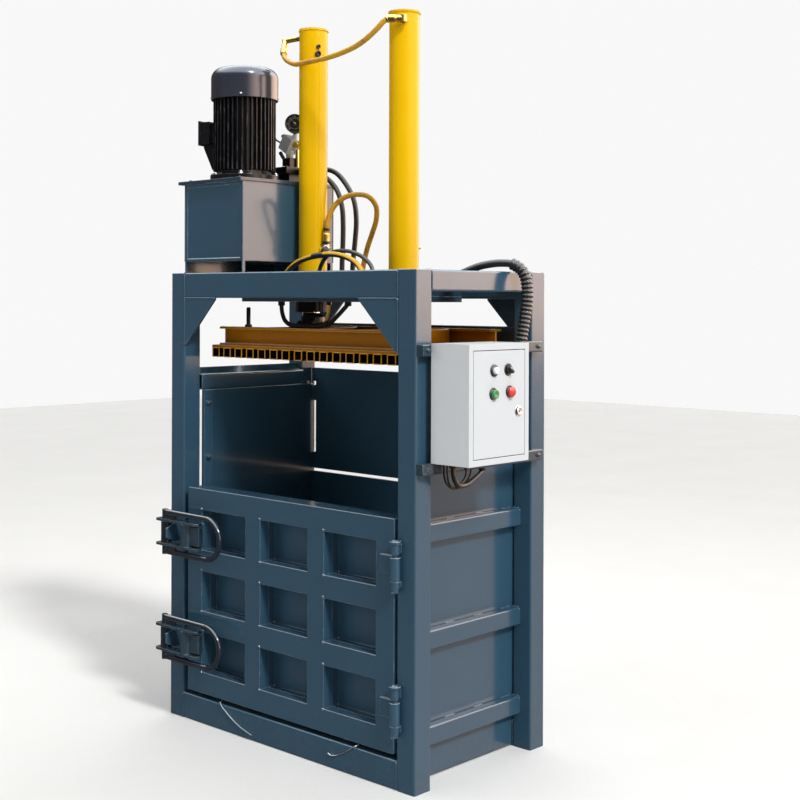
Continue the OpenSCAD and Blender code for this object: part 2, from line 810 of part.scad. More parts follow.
// Unit vector from a to b
function unit(a, b) = (b - a) / norm(b - a);

// Point on the smooth curve through four neighbouring points
function spline_point(p0, p1, p2, p3, t) =
    0.5 * (2 * p1 + (p2 - p0) * t + (2 * p0 - 5 * p1 + 4 * p2 - p3) * t * t
        + (3 * p1 - p0 - 3 * p2 + p3) * t * t * t);

// Smooth route through the given points with n steps between neighbours
function route(p, n) = [
    for (i = [0:len(p) - 2], k = [0:n - 1])
        spline_point(p[max(i - 1, 0)], p[i], p[i + 1], p[min(i + 2, len(p) - 1)], k / n),
    p[len(p) - 1]
];

// Direction of a route at point i
function heading(q, i) = unit(q[max(i - 1, 0)], q[min(i + 1, len(q) - 1)]);

// One ring of points round a route, with its first point towards the side vector
function hose_ring(c, dir, side, d, n) =
    let (u = side - (side * dir) * dir, a = u / norm(u), b = cross(dir, a))
    [for (k = [0:n - 1]) c + d / 2 * (cos(360 * k / n) * a + sin(360 * k / n) * b)];

// Round hose swept along a route; side is a vector the route never runs along
module hose(p, d, n = 8, steps = 1, side = [0, 1, 0]) {
    q = route(p, steps);
    m = len(q);
    rings = [for (i = [0:m - 1]) each hose_ring(q[i], heading(q, i), side, d, n)];
    faces = [
        for (i = [0:m - 2], k = [0:n - 1])
            let (k2 = (k + 1) % n, a = i * n)
            each [[a + k, a + k2, a + n + k2], [a + k, a + n + k2, a + n + k]],
        [for (k = [n - 1:-1:0]) k],
        [for (k = [0:n - 1]) (m - 1) * n + k]
    ];
    polyhedron(points = rings, faces = [for (f = faces) [for (j = [len(f) - 1:-1:0]) f[j]]]);
}

hose_d = 20;
front_ends = [[-150, -205], [272, -200]];
crossover_points = [[-388.64, 10.85, 2589.83], [-384.42, 5.43, 2579.99], [-373, -6.5, 2560.5],
    [-353, -18, 2541.5], [-317, -32, 2522.5], [-262, -50, 2504], [-215, -62, 2499], [-130, -76, 2497],
    [-50, -80, 2499], [30, -81, 2508], [103, -82, 2523], [160, -82, 2545], [206, -80, 2572],
    [232, -75, 2594], [249.5, -64.6, 2604.5], [260.2, -55.6, 2605], [270.9, -46.6, 2605]];
front_points = [[-150, -205, 1642.6], [-150, -205, 1664], [-130, -202, 1704], [-78, -197, 1738], [0, -193, 1757],
    [85, -190, 1763], [160, -190, 1752], [222, -192, 1724], [272, -200, 1668], [272, -200, 1642.6]];
riser_points = [[-165, 28, 1815], [-165, 29, 1850], [-160, 32, 1905], [-140, 42, 1955], [-98, 58, 1990],
    [-45, 76, 2000], [-5, 96, 1990], [12, 118, 1955], [2, 130, 1905], [-25, 134, 1850], [-48, 130, 1790],
    [-62, 118, 1700], [-62, 116, 1668], [-62, 116, 1646.6]];
pressure_points = [[-379.6, 128, 2110], [-345, 128, 2110], [-280, 127, 2114], [-215, 127, 2096], [-160, 128, 2048],
    [-118, 129, 1985], [-104, 129, 1910], [-108, 127, 1830], [-117, 124, 1740], [-118, 124, 1668], [-118, 124, 1646.6]];
return_points = [[-379.6, 98, 2110], [-345, 98, 2110], [-285, 100, 2096], [-228, 101, 2066], [-182, 102, 2022],
    [-156, 102, 1962], [-148, 101, 1895], [-148, 100, 1815], [-150, 98, 1740], [-150, 98, 1668], [-150, 98, 1646.6]];
conduit_d = 42;
cable_d = 16;
conduit_points = [[400, 157.7, 1668], [400, 130, 1668], [420, 103, 1676], [462, 92, 1694], [520, 104, 1716],
    [560, 120, 1726], [605, 137, 1730], [650, 150, 1724], [689, 158, 1692], [703, 159, 1630], [700, 152, 1555],
    [694, 138, 1465], [693, 126, 1390], [698, 108, 1325], [710, 84, 1281], [728, 56, 1262], [740, 26, 1258],
    [740, 4.3, 1258]];
cable_points = [[700, -228, 1072], [700, -228, 1048], [700, -226, 1028], [695, -210, 1007], [687, -180, 990],
    [676, -132, 988], [667, -86, 1000], [659, -42, 1016], [656, -27, 1025], [656, -26, 1028], [656, -26, 1033.7]];

module crossover_hose() {
    color(safety_yellow) hose(crossover_points, hose_d, 10, side = [0, 0, 1]);
}

module front_hose() {
    color(black) hose(front_points, hose_d, 8, 1, side = [0, 1, 0]);
}

module riser_hose() {
    color(black) hose(riser_points, hose_d, 8, 1, side = [0, 1, 0]);
}

module pressure_hose() {
    color(black) hose(pressure_points, hose_d, 8, 1);
}

module return_hose() {
    color(black) hose(return_points, hose_d, 8, 1);
}

module conduit() {
    color(black) hose(conduit_points, conduit_d, 12, 1, side = [1, 1, -1]);
}

module cabinet_cable() {
    color(black) hose(cable_points, cable_d, 8, 1, side = [1, 0, 0]);
}

// Control cabinet

module cabinet_shell() {
    z0 = cab_z + cab_rim;
    z1 = cab_top - cab_rim;
    color(cabinet_grey) {
        difference() {
            box([cab_x0, cab_y0, cab_z], [cab_x1, cab_y1, cab_top]);
            box([cab_x0 + cab_t, cab_y0 + cab_t, cab_z + cab_t], [cab_x1 - cab_t, cab_y1 - cab_t, cab_top - cab_t]);
            cabinet_opening();
        }
        difference() {
            box([cab_x1 - 16, cab_y0 + cab_rim - cab_t, z0 - cab_t], [cab_x1 - eps, cab_y1 - cab_rim + cab_t, z1 + cab_t]);
            cabinet_opening();
        }
        for (z = [z0 - 1, z1 - 9])
            translate([cab_hinge_x, cab_hinge_y, z]) cylinder(d = cab_pin_d, h = 10, $fn = 32);
    }
}

// Opening in the front of the shell, inside its rim
module cabinet_opening() {
    box([cab_x1 - 17, cab_y0 + cab_rim, cab_z + cab_rim], [cab_x1 + 1, cab_y1 - cab_rim, cab_top - cab_rim]);
}

// Two channels across the posts that carry the cabinet
module cabinet_rails() {
    y0 = front_y + 4;
    y1 = post_y + 26;
    w = cab_x0 - frame_w / 2;
    color(dark_slate) for (z = rail_zs)
        translate([frame_w / 2 + w / 2, (y0 + y1) / 2, z]) {
            tube_y(y1 - y0, w, rail_tube_h, 4, 3);
            for (s = [-1, 1])
                translate([0, s * ((y1 - y0) / 2 - 1.5), 0]) cube([w - 5, 3, rail_tube_h - 5], true);
        }
}

// Pan-shaped door that lies in the opening, on two pins of the shell
module cabinet_door() {
    edge = cab_rim + cab_seam;
    y0 = cab_y0 + edge;
    y1 = cab_y1 - edge;
    z0 = cab_z + edge;
    z1 = cab_top - edge;
    color(cabinet_grey) {
        difference() {
            box([cab_door_x, y0, z0], [cab_x1, y1, z1]);
            box([cab_door_x - 1, y0 + cab_t, z0 + cab_t], [cab_x1 - cab_t, y1 - cab_t, z1 - cab_t]);
            for (p = [selector_at, green_at, red_at, lock_at])
                translate([cab_x1 - 20, p[0], p[1]]) rotate([0, 90, 0]) cylinder(d = control_hole_d, h = 30, $fn = 48);
            cabinet_pin_bores(z0, z1);
        }
        difference() {
            for (z = [z0 + cab_t - eps, z1 - cab_t - 10])
                translate([cab_hinge_x, cab_hinge_y, z]) cylinder(d = 8, h = 10 + eps, $fn = 32);
            cabinet_pin_bores(z0, z1);
        }
        translate([cab_x1 - 0.3, lamp_at[0], lamp_at[1]]) rotate([0, 90, 0]) {
            cylinder(d = 27, h = 5, $fn = 48);
            translate([0, 0, 4]) cylinder(d = 21, h = 9, $fn = 48);
        }
    }
}

// Bores for the two pins of the shell
module cabinet_pin_bores(z0, z1) {
    for (z = [z0 - 1, z1 - 9])
        translate([cab_hinge_x, cab_hinge_y, z]) cylinder(d = cab_pin_d + 2 * run_gap, h = 10, $fn = 32);
}

control_hole_d = 22.3;
lamp_at = [cab_y0 + 124, cab_top - 86];
selector_at = [cab_y0 + 196, cab_top - 85];
green_at = [cab_y0 + 120, cab_top - 161];
red_at = [cab_y0 + 204, cab_top - 157];
lock_at = [cab_y1 - 57, cab_top - 222];

// Mounting plate with rail, two contactors, an overload relay and a transformer
module switchgear() {
    x0 = cab_x0 + cab_t + 10;
    color(steel) {
        box([x0, cab_y0 + 18, cab_z + 20], [x0 + 3, cab_y1 - 18, cab_top - 20]);
        for (y = [cab_y0 + 40, cab_y1 - 40], z = [cab_z + 40, cab_top - 40])
            translate([cab_x0 + cab_t, y, z]) rotate([0, 90, 0]) cylinder(d = 12, h = 10.5, $fn = 24);
        box([x0 + 2, cab_y0 + 34, cab_z + 240], [x0 + 10, cab_y1 - 34, cab_z + 275]);
        for (i = [0:2])
            box([x0 + 9, cab_y0 + 50 + i * 62, cab_z + 218], [x0 + 80, cab_y0 + 98 + i * 62, cab_z + 298]);
        box([x0 + 2, cab_y0 + 60, cab_z + 60], [x0 + 70, cab_y0 + 150, cab_z + 150]);
    }
}

// Turned control that fits the panel hole, pointing along +X
module control(at, head_d, head_l) {
    translate([cab_x1, at[0], at[1]]) rotate([0, 90, 0]) {
        translate([0, 0, -28]) cylinder(d = control_hole_d - 2 * run_gap, h = 30, $fn = 48);
        translate([0, 0, free_gap]) cylinder(d = head_d, h = head_l, $fn = 48);
    }
}

module lock_barrel() {
    color(black) control(lock_at, 26, 6);
    color(black) translate([cab_x1 - 27, lock_at[0], lock_at[1]]) rotate([0, 90, 0])
        translate([-9, -9, 0]) cube([18, 44, 3]);
}

// Two-position selector with a raised grip
module selector_knob() {
    color(black) {
        control(selector_at, 28, 6);
        translate([cab_x1 + 6, selector_at[0], selector_at[1]]) rotate([45, 0, 0]) box([-eps, -4, -12], [12, 4, 12]);
    }
}

// Push buttons keep a gap behind their heads, which is their travel
module push_button(at) {
    translate([cab_x1, at[0], at[1]]) rotate([0, 90, 0]) {
        translate([0, 0, -24]) cylinder(d = control_hole_d - 2 * run_gap, h = 24 + button_travel + 3, $fn = 48);
        translate([0, 0, button_travel + 1.5]) cylinder(d = 29, h = 8, $fn = 48);
    }
}

button_travel = 4;

module green_button() {
    color("#1f8f4a") push_button(green_at);
}

module red_button() {
    color("#c3262c") push_button(red_at);
}

// Baling door

// Places one child at the lower left corner of each pocket
module at_pockets() {
    for (i = [0:door_cells - 1], j = [0:door_cells - 1])
        translate([door_x0 + door_bar + i * (cell_w + door_bar), 0,
                door_z + door_bar - 2 + j * (cell_h + door_bar - 2)]) children();
}

// Door of hollow box bars with rows of open pockets and a skin on the chamber side
module baling_door() {
    y_in = door_back_y - door_skin;
    w = door_sheet;
    seam_y = front_y + door_t / 2;
    color(slate) difference() {
        translate([(door_x0 + door_x1) / 2, door_back_y, door_z + door_h / 2]) rotate([90, 0, 0])
            linear_extrude(door_t) rounded_rect(door_w, door_h, 5);
        at_pockets() {
            box([0, front_y - 1, 0], [cell_w, y_in, cell_h]);
        }
        at_pockets() {
            box([-1, seam_y, -1], [cell_w + 1, seam_y + 1.5, cell_h + 1]);
        }
        difference() {
            box([door_x0 + w, front_y + w, door_z + w], [door_x1 - w, y_in, door_z + door_h - w]);
            at_pockets() {
                box([-w, front_y, -w], [cell_w + w, y_in + 1, cell_h + w]);
            }
        }
    }
}

// Long knuckles with their leaves, on the door
module door_hinges() {
    y1 = front_y - hinge_y;
    edge = door_x1 - hinge_x;
    color(slate) for (z = hinge_zs)
        translate([hinge_x, hinge_y, z]) difference() {
            union() {
                translate([0, 0, -knuckle_l / 2]) cylinder(d = knuckle_d, h = knuckle_l, $fn = 64);
                box([edge - 56, y1 - leaf_t, -leaf_low], [edge, y1, knuckle_l / 2]);
                box([edge - eps, y1 - leaf_t, -leaf_low], [-knuckle_d / 4, y1 - 1, knuckle_l / 2]);
            }
            translate([0, 0, -knuckle_l]) cylinder(d = hinge_pin_d + 2 * run_gap, h = 2 * knuckle_l, $fn = 64);
        }
}

// Short knuckles on blocks, pins, caps and nuts on the right front post, and latch lugs on the left one
module post_hardware() {
    top_z = knuckle_l / 2 + hinge_gap_top;
    low_z = -knuckle_l / 2 - hinge_gap_low - hinge_low_l;
    color(slate) for (z = hinge_zs)
        translate([hinge_x, hinge_y, z]) {
            translate([0, 0, low_z - 14]) cylinder(d = hinge_pin_d, h = top_z - low_z + hinge_top_l + 14, $fn = 64);
            translate([0, 0, top_z]) cylinder(d = knuckle_d - 5, h = hinge_top_l, $fn = 64);
            translate([0, 0, top_z + hinge_top_l - 1]) cylinder(d = hinge_cap_d, h = 8, $fn = 64);
            translate([0, 0, low_z]) cylinder(d = knuckle_d - 5, h = hinge_low_l, $fn = 64);
            translate([0, 0, low_z - 11]) cylinder(d = 28, h = 11.5, $fn = 6);
            box([-7, 0, top_z + 3], [7, front_y - hinge_y, top_z + hinge_top_l - 3]);
            box([-7, 0, low_z + 3], [7, front_y - hinge_y, low_z + hinge_low_l - 3]);
        }
    color(slate) for (z = latch_zs)
        latch_lug(z);
}

// Latches

// Lug on the post that the latch cam bears against
module latch_lug(z) {
    h = latch_in_h - 10;
    translate([lug_x, front_y, z - h / 2]) rotate([0, -90, 180]) linear_extrude(lug_t)
        polygon([[0, 0], [h, 0], [h, 40], [h * 0.75, 78], [h * 0.25, 78], [0, 40]]);
}

// Two plates and the upright boss that fix one latch to the door's stile
module latch_brackets() {
    boss_x = door_x0 + 60;
    color(slate) for (z = latch_zs)
        translate([0, 0, z]) {
            for (s = [-1, 1])
                translate([0, 0, s * latch_plate_gap / 2 - latch_plate_t / 2]) latch_plate();
            box([boss_x - 14, latch_y, -latch_in_h / 2 - eps], [boss_x + 30, front_y, latch_in_h / 2 + eps]);
            translate([boss_x, latch_y, -latch_in_h / 2 - eps]) cylinder(d = 44, h = latch_in_h + 2 * eps, $fn = 48);
            box([boss_x + 18, latch_y - 4, -34], [boss_x + 78, latch_y + 12, 34]);
        }
}

// Long plate with round ends, bored for the latch pivot
module latch_plate() {
    r = latch_plate_d / 2;
    y0 = latch_y - r;
    difference() {
        linear_extrude(latch_plate_t) {
            translate([latch_plate_x0 + 12, y0]) square([latch_plate_x1 - r - latch_plate_x0 - 12, 2 * r]);
            translate([latch_plate_x0, y0 + 12]) square([30, 2 * r - 24]);
            for (y = [y0 + 12, y0 + 2 * r - 12])
                translate([latch_plate_x0 + 12, y]) circle(12, $fn = 32);
            translate([latch_plate_x1 - r, latch_y]) circle(r, $fn = 64);
        }
        translate([latch_x, latch_y, -1]) cylinder(d = latch_pin_d + 2 * run_gap, h = latch_plate_t + 2, $fn = 48);
    }
}

// U-shaped bar handle with its pivot and the cam between the plates
module latch_handle() {
    r = handle_h / 2;
    leg = handle_l - r - handle_bar_d / 2;
    web_z = latch_plate_gap / 2 + latch_plate_t / 2 + 1.5;
    for (s = [-1, 1])
        translate([0, 0, s * r]) rotate([0, 90, 0]) cylinder(d = handle_bar_d, h = leg, $fn = 32);
    translate([leg, 0, 0]) rotate([90, 0, 0]) difference() {
        rotate_extrude($fn = 64) translate([r, 0]) circle(d = handle_bar_d, $fn = 32);
        translate([-2 * r, -2 * r, -handle_bar_d]) cube([2 * r, 4 * r, 2 * handle_bar_d]);
    }
    translate([0, 0, -r - handle_bar_d / 2]) cylinder(d = latch_pin_d, h = handle_h + handle_bar_d, $fn = 48);
    for (m = [0, 1])
        mirror([0, 0, m]) box([0, -4, web_z], [66, 4, r]);
    translate([cam_shift, cam_shift, -latch_in_h / 2 + 2]) cylinder(r = cam_r, h = latch_in_h - 4, $fn = 48);
}

module upper_latch_handle() {
    color(slate) translate([latch_x, latch_y, latch_zs[1]]) latch_handle();
}

module lower_latch_handle() {
    color(slate) translate([latch_x, latch_y, latch_zs[0]]) latch_handle();
}

// Ends of baling wire that hang out over the sill, each with a bent hook
wire_d = 4;
left_wire = [[-340, -334, 106], [-336, -347, 103], [-318, -350, 88], [-288, -347.2, 67], [-255, -347.2, 50],
    [-215, -349, 36], [-165, -352, 26], [-150, -353, 24]];
right_wire = [[378, -334, 106], [373, -347, 103], [350, -350, 86], [318, -347.2, 67], [285, -347.2, 51],
    [262, -350, 46], [246, -352, 52]];

module tie_wires() {
    color(black) for (p = [left_wire, right_wire])
        hose(p, wire_d, 6, 1, side = [0, 1, 0]);
}

front_left_post();
front_right_post();
rear_posts();
front_top_beam();
rear_top_beam();
side_top_beams();
corner_gussets();
front_sill();
floor_bearers();
chamber_floor();
left_wall();
right_wall();
wall_ribs();
rear_wall_lower();
rear_wall_upper();
hopper_rails();
cylinder_bridge();
tank_bearer();
left_cylinder();
right_cylinder();
cylinder_glands();
port_fittings();
platen_plate();
platen_channels();
platen_beams();
left_rod();
right_rod();
oil_tank();
tank_lid();
tank_breather();
gear_pump();
motor_body();
motor_cowl();
motor_rotor();
terminal_box();
valve_manifold();
solenoid_valve();
pressure_gauge();
crossover_hose();
front_hose();
riser_hose();
pressure_hose();
return_hose();
conduit();
cabinet_shell();
cabinet_rails();
cabinet_door();
switchgear();
lock_barrel();
selector_knob();
green_button();
red_button();
baling_door();
door_hinges();
post_hardware();
latch_brackets();
upper_latch_handle();
lower_latch_handle();
tie_wires();
cabinet_cable();
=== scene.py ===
# %% [markdown]
# # An upright baling press, dressed in Blender
#
# The imported CAD model is the skeleton of this scene: every tube, plate and barrel is already
# there, at its true size in metres. This script gives those solids their paint, and adds what a
# welder, a fitter and an electrician would leave on them: beads, bolts, hoses, ferrules, glands.
# It is written as a lesson. Each step says what the piece is on the real machine, and why this
# way of making it was chosen.

# %% Load the frame and its record
import json
import math

import bmesh
import bpy
from mathutils import Matrix, Vector


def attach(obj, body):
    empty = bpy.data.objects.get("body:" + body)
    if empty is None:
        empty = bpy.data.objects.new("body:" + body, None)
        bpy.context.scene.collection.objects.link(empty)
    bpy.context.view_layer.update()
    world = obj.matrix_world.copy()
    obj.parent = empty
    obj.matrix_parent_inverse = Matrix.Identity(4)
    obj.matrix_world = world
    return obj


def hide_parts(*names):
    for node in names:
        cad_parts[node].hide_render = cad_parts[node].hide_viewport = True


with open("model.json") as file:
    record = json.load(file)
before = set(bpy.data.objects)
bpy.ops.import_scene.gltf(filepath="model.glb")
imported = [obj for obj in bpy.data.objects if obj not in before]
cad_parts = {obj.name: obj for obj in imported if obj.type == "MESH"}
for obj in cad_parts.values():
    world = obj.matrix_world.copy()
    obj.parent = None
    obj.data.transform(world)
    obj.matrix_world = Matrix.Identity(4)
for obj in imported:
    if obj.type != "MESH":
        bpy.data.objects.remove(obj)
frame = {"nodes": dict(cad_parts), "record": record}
nodes = frame["nodes"]
scene = bpy.context.scene
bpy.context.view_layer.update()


def linked(name, data):
    """A new object with this data, linked into the scene."""
    obj = bpy.data.objects.new(name, data)
    scene.collection.objects.link(obj)
    return obj


# %% [markdown]
# ## The camera
#
# The photographer stood to the right of the door, a little above the middle of the machine, and
# kept the camera level: upright lines stay upright. A level camera shows more floor than sky only
# by a vertical shift of the lens, which is what shift_y does. The numbers came from lining up the
# corners of the frame, so the drawing and the picture agree to about a pixel.

# %% Camera
IMAGE_PX = 800  # width and height of the photograph
FOCAL_PX = 1338.9
HORIZON_PX = 299.9  # rows above the horizon
SENSOR = 36.0  # mm
LENS_AT = (3.544, -3.528, 1.600)
AZIMUTH, ROLL = 0.7514, 0.0033  # radians

camera_data = bpy.data.cameras.new("camera")
camera_data.sensor_width = SENSOR
camera_data.lens = FOCAL_PX * SENSOR / IMAGE_PX
camera_data.shift_y = (HORIZON_PX - IMAGE_PX / 2) / IMAGE_PX
camera_data.clip_end = 60.0
scene.camera = linked("camera", camera_data)
scene.camera.matrix_world = (
    Matrix.Translation(LENS_AT)
    @ Matrix.Rotation(AZIMUTH, 4, "Z")
    @ Matrix.Rotation(math.pi / 2, 4, "X")
    @ Matrix.Rotation(ROLL, 4, "Z")
)
print("lens", round(camera_data.lens, 2), "mm, shift", round(camera_data.shift_y, 4))

# %% [markdown]
# ## Small tools for making pieces
#
# A piece starts as a bmesh: a box, a turned shape or a tube. Its object sits at the origin, so
# that a texture on Object coordinates lies the same way on it as on the CAD solids.

# %% Points and objects
def mm(*xyz):
    """A point given in millimetres, as the drawing gives it."""
    return Vector(xyz) / 1000.0


def new_object(name, bm):
    """A mesh object from a bmesh, with its normals outwards."""
    mesh = bpy.data.meshes.new(name)
    bmesh.ops.recalc_face_normals(bm, faces=bm.faces)
    bm.to_mesh(mesh)
    bm.free()
    return linked(name, mesh)


def merged(*parts):
    """Several bmeshes as one."""
    whole = bmesh.new()
    for part in parts:
        mesh = bpy.data.meshes.new("part")
        part.to_mesh(mesh)
        part.free()
        whole.from_mesh(mesh)
        bpy.data.meshes.remove(mesh)
    return whole


# %% [markdown]
# ## Hoses first
#
# A hydraulic hose is stiff: it leaves its fitting straight and then bends in one wide curve. The
# routes repeat the CAD's points. A smooth curve through them (a Catmull-Rom spline) becomes a
# tube. The rings are carried along the route without twisting, so the tube never pinches.

# %% Routes of the hoses, in millimetres
ROUTES = {
    "crossover_hose": [
        (-388.64, 10.85, 2589.83), (-384.42, 5.43, 2579.99), (-373, -6.5, 2560.5),
        (-353, -18, 2541.5), (-317, -32, 2522.5), (-262, -50, 2504), (-215, -62, 2499),
        (-130, -76, 2497), (-50, -80, 2499), (30, -81, 2508), (103, -82, 2523), (160, -82, 2545),
        (206, -80, 2572), (232, -75, 2594), (249.5, -64.6, 2604.5), (260.2, -55.6, 2605),
        (270.9, -46.6, 2605)],
    "front_hose": [
        (-150, -205, 1642.6), (-150, -205, 1664), (-130, -202, 1704), (-78, -197, 1738),
        (0, -193, 1757), (85, -190, 1763), (160, -190, 1752), (222, -192, 1724),
        (272, -200, 1668), (272, -200, 1642.6)],
    "riser_hose": [
        (-165, 28, 1815), (-165, 29, 1850), (-160, 32, 1905), (-140, 42, 1955), (-98, 58, 1990),
        (-45, 76, 2000), (-5, 96, 1990), (12, 118, 1955), (2, 130, 1905), (-25, 134, 1850),
        (-48, 130, 1790), (-62, 118, 1700), (-62, 116, 1668), (-62, 116, 1646.6)],
    "pressure_hose": [
        (-379.6, 128, 2110), (-345, 128, 2110), (-280, 127, 2114), (-215, 127, 2096),
        (-160, 128, 2048), (-118, 129, 1985), (-104, 129, 1910), (-108, 127, 1830),
        (-117, 124, 1740), (-118, 124, 1668), (-118, 124, 1646.6)],
    "return_hose": [
        (-379.6, 98, 2110), (-345, 98, 2110), (-285, 100, 2096), (-228, 101, 2066),
        (-182, 102, 2022), (-156, 102, 1962), (-148, 101, 1895), (-148, 100, 1815),
        (-150, 98, 1740), (-150, 98, 1668), (-150, 98, 1646.6)],
    "conduit": [
        (400, 157.7, 1668), (400, 130, 1668), (420, 103, 1676), (462, 92, 1694), (520, 104, 1716),
        (560, 120, 1726), (605, 137, 1730), (650, 150, 1724), (689, 158, 1692), (703, 159, 1630),
        (700, 152, 1555), (694, 138, 1465), (693, 126, 1390), (698, 108, 1325), (710, 84, 1281),
        (728, 56, 1262), (740, 26, 1258), (740, 4.3, 1258)],
    "cabinet_cable": [
        (700, -228, 1072), (700, -228, 1048), (700, -226, 1028), (695, -210, 1007),
        (687, -180, 990), (676, -132, 988), (667, -86, 1000), (659, -42, 1016), (656, -27, 1025),
        (656, -26, 1028), (656, -26, 1033.7)],
}
print("routes:", ", ".join(ROUTES))


# %% Smooth curve and tube
def smooth_route(points, steps=6):
    """Catmull-Rom curve through the points, in metres."""
    p = [mm(*q) for q in points]
    p = [p[0] * 2 - p[1]] + p + [p[-1] * 2 - p[-2]]
    curve = []
    for a, b, c, d in zip(p, p[1:], p[2:], p[3:]):
        for k in range(steps):
            t = k / steps
            curve.append(0.5 * (2 * b + (c - a) * t + (2 * a - 5 * b + 4 * c - d) * t * t
                                + (3 * b - a - 3 * c + d) * t ** 3))
    return curve + [p[-2]]


def circle(sides):
    """The corners of a regular polygon, as cosine and sine."""
    angles = [2 * math.pi * k / sides for k in range(sides)]
    return [(math.cos(a), math.sin(a)) for a in angles]


def skin(bm, rings, sides):
    """Faces from each ring of vertices to the next. A ring can be a single point."""
    for low, high in zip(rings, rings[1:]):
        for k in range(sides):
            n = (k + 1) % sides
            quad = (low[k % len(low)], low[n % len(low)], high[n % len(high)], high[k % len(high)])
            corners = list(dict.fromkeys(quad))
            if len(corners) > 2:
                bm.faces.new(corners)


def tube(curve, radius, sides):
    """A closed tube along a curve. radius is a number, or a function of the length so far."""
    bm = bmesh.new()
    side, rings, length = Vector((0, 1, 0)), [], 0.0
    for i, point in enumerate(curve):
        if i:
            length += (point - curve[i - 1]).length
        ahead = (curve[min(i + 1, len(curve) - 1)] - curve[max(i - 1, 0)]).normalized()
        side = side - ahead * side.dot(ahead)
        if side.length < 1e-4:
            side = ahead.orthogonal()
        side.normalize()
        other = ahead.cross(side)
        r = radius(length) if callable(radius) else radius
        rings.append([bm.verts.new(point + (side * c + other * s) * r) for c, s in circle(sides)])
    skin(bm, rings, sides)
    bm.faces.new(rings[0])
    bm.faces.new(rings[-1])
    return bm


def route_length(curve):
    return sum((b - a).length for a, b in zip(curve, curve[1:]))


def part_of_route(curve, start, end):
    """The stretch of a curve between two lengths, with a point every millimetre or two."""
    dense, length = [], 0.0
    for a, b in zip(curve, curve[1:]):
        step = (b - a).length
        n = max(1, int(step / 0.0015))
        dense += [a.lerp(b, k / n) for k in range(n) if start <= length + step * k / n <= end]
        length += step
    if end >= length - 1e-6:
        dense.append(curve[-1])
    return dense


# %% [markdown]
# ## Finishes
#
# A machine shop sprays everything that holds still: one slate-blue gloss enamel over the frame,
# yellow on the press, black on bought-in castings. Sprayed gloss is never flat. It has a fine
# orange peel, it is thin on sharp edges, where a lighter colour also paints a highlight, and a
# machine that has stood in a yard wears a little dust on each ledge. Those three effects are node
# groups, built once, and each paint sets its own amounts.

# %% Node tree helpers
class NodeKit:
    """A node tree, with a word for each node that comes up again and again."""

    def __init__(self, tree):
        self.tree = tree

    def feed(self, socket, value):
        """Wires what comes from another node, and types a plain value on the socket."""
        if isinstance(value, bpy.types.NodeSocket):
            self.tree.links.new(value, socket)
        elif value is not None:
            socket.default_value = value

    def add(self, kind, inputs=None, **settings):
        """A node with its settings, and with its inputs fed by name or by number."""
        node = self.tree.nodes.new(kind)
        for key, value in settings.items():
            setattr(node, key, value)
        for key, value in (inputs or {}).items():
            self.feed(node.inputs[key], value)
        return node

    def group(self, tree, inputs=None):
        return self.add("ShaderNodeGroup", inputs, node_tree=tree).outputs

    def math(self, operation, a, b=None, clamp=False):
        node = self.add("ShaderNodeMath", {0: a, 1: b}, operation=operation, use_clamp=clamp)
        return node.outputs[0]

    def times(self, first, *others, clamp=False):
        """The product of two or more values."""
        for value in others:
            first = self.math("MULTIPLY", first, value, clamp)
        return first

    def noise(self, vector, scale, detail=3.0, roughness=0.5):
        return self.add("ShaderNodeTexNoise", {
            "Vector": vector, "Scale": scale, "Detail": detail, "Roughness": roughness,
        }).outputs["Fac"]

    def step(self, value, low, high, at_low=0.0, at_high=1.0):
        """A smooth step: low..high becomes at_low..at_high."""
        return self.add("ShaderNodeMapRange", {
            "Value": value, "From Min": low, "From Max": high, "To Min": at_low, "To Max": at_high,
        }, interpolation_type="SMOOTHSTEP").outputs["Result"]

    def mixed(self, factor, a, b):
        """Colour a where the factor is 0 and b where it is 1."""
        return self.add("ShaderNodeMix", {0: factor, 6: a, 7: b}, data_type="RGBA").outputs[2]

    def axes(self, vector):
        return self.add("ShaderNodeSeparateXYZ", {0: vector}).outputs

    def here(self):
        """Object coordinates."""
        return self.add("ShaderNodeTexCoord").outputs["Object"]

    def grain(self, scale):
        """Object coordinates pulled along the axes, for marks that run one way."""
        mapping = self.add("ShaderNodeMapping", {"Scale": scale, "Vector": self.here()})
        return mapping.outputs["Vector"]

    def flat_normal(self):
        return self.add("ShaderNodeNewGeometry").outputs["Normal"]

    def bump(self, shader, height, strength, depth, normal=None):
        """Wires a height into a shader's normal."""
        node = self.add("ShaderNodeBump", {
            "Strength": strength, "Distance": depth, "Height": height, "Normal": normal})
        self.feed(shader.inputs["Normal"], node.outputs["Normal"])


def new_group(name, kind, inputs, outputs):
    """A node group. Each input has a default number or just a type, each output a type."""
    tree = bpy.data.node_groups.new(name, kind)

    def socket(label, word, side):
        return tree.interface.new_socket(label, in_out=side, socket_type="NodeSocket" + word)

    for label, value in inputs.items():
        if isinstance(value, str):
            socket(label, value, "INPUT")
        else:
            word = "Int" if isinstance(value, int) else "Float"
            socket(label, word, "INPUT").default_value = value
    for label, word in outputs.items():
        socket(label, word, "OUTPUT")
    kit = NodeKit(tree)
    return kit, kit.add("NodeGroupInput").outputs, kit.add("NodeGroupOutput").inputs


# %% Orange peel: the fine ripple and the slow change of shade in a sprayed coat
def build_orange_peel():
    kit, ins, outs = new_group("orange_peel", "ShaderNodeTree",
                               {"Peel Scale": 320.0, "Cloud Scale": 2.2},
                               {"Height": "Float", "Cloud": "Float"})
    here = kit.here()
    peel = kit.noise(here, ins["Peel Scale"], 1.0)
    waves = kit.noise(here, 9.0, 1.0)
    kit.feed(outs["Height"], kit.math("ADD", peel, kit.times(waves, 6.0)))
    cloud = kit.noise(here, ins["Cloud Scale"], 4.0, 0.6)
    kit.feed(outs["Cloud"], kit.step(cloud, 0.3, 0.72))
    return kit.tree
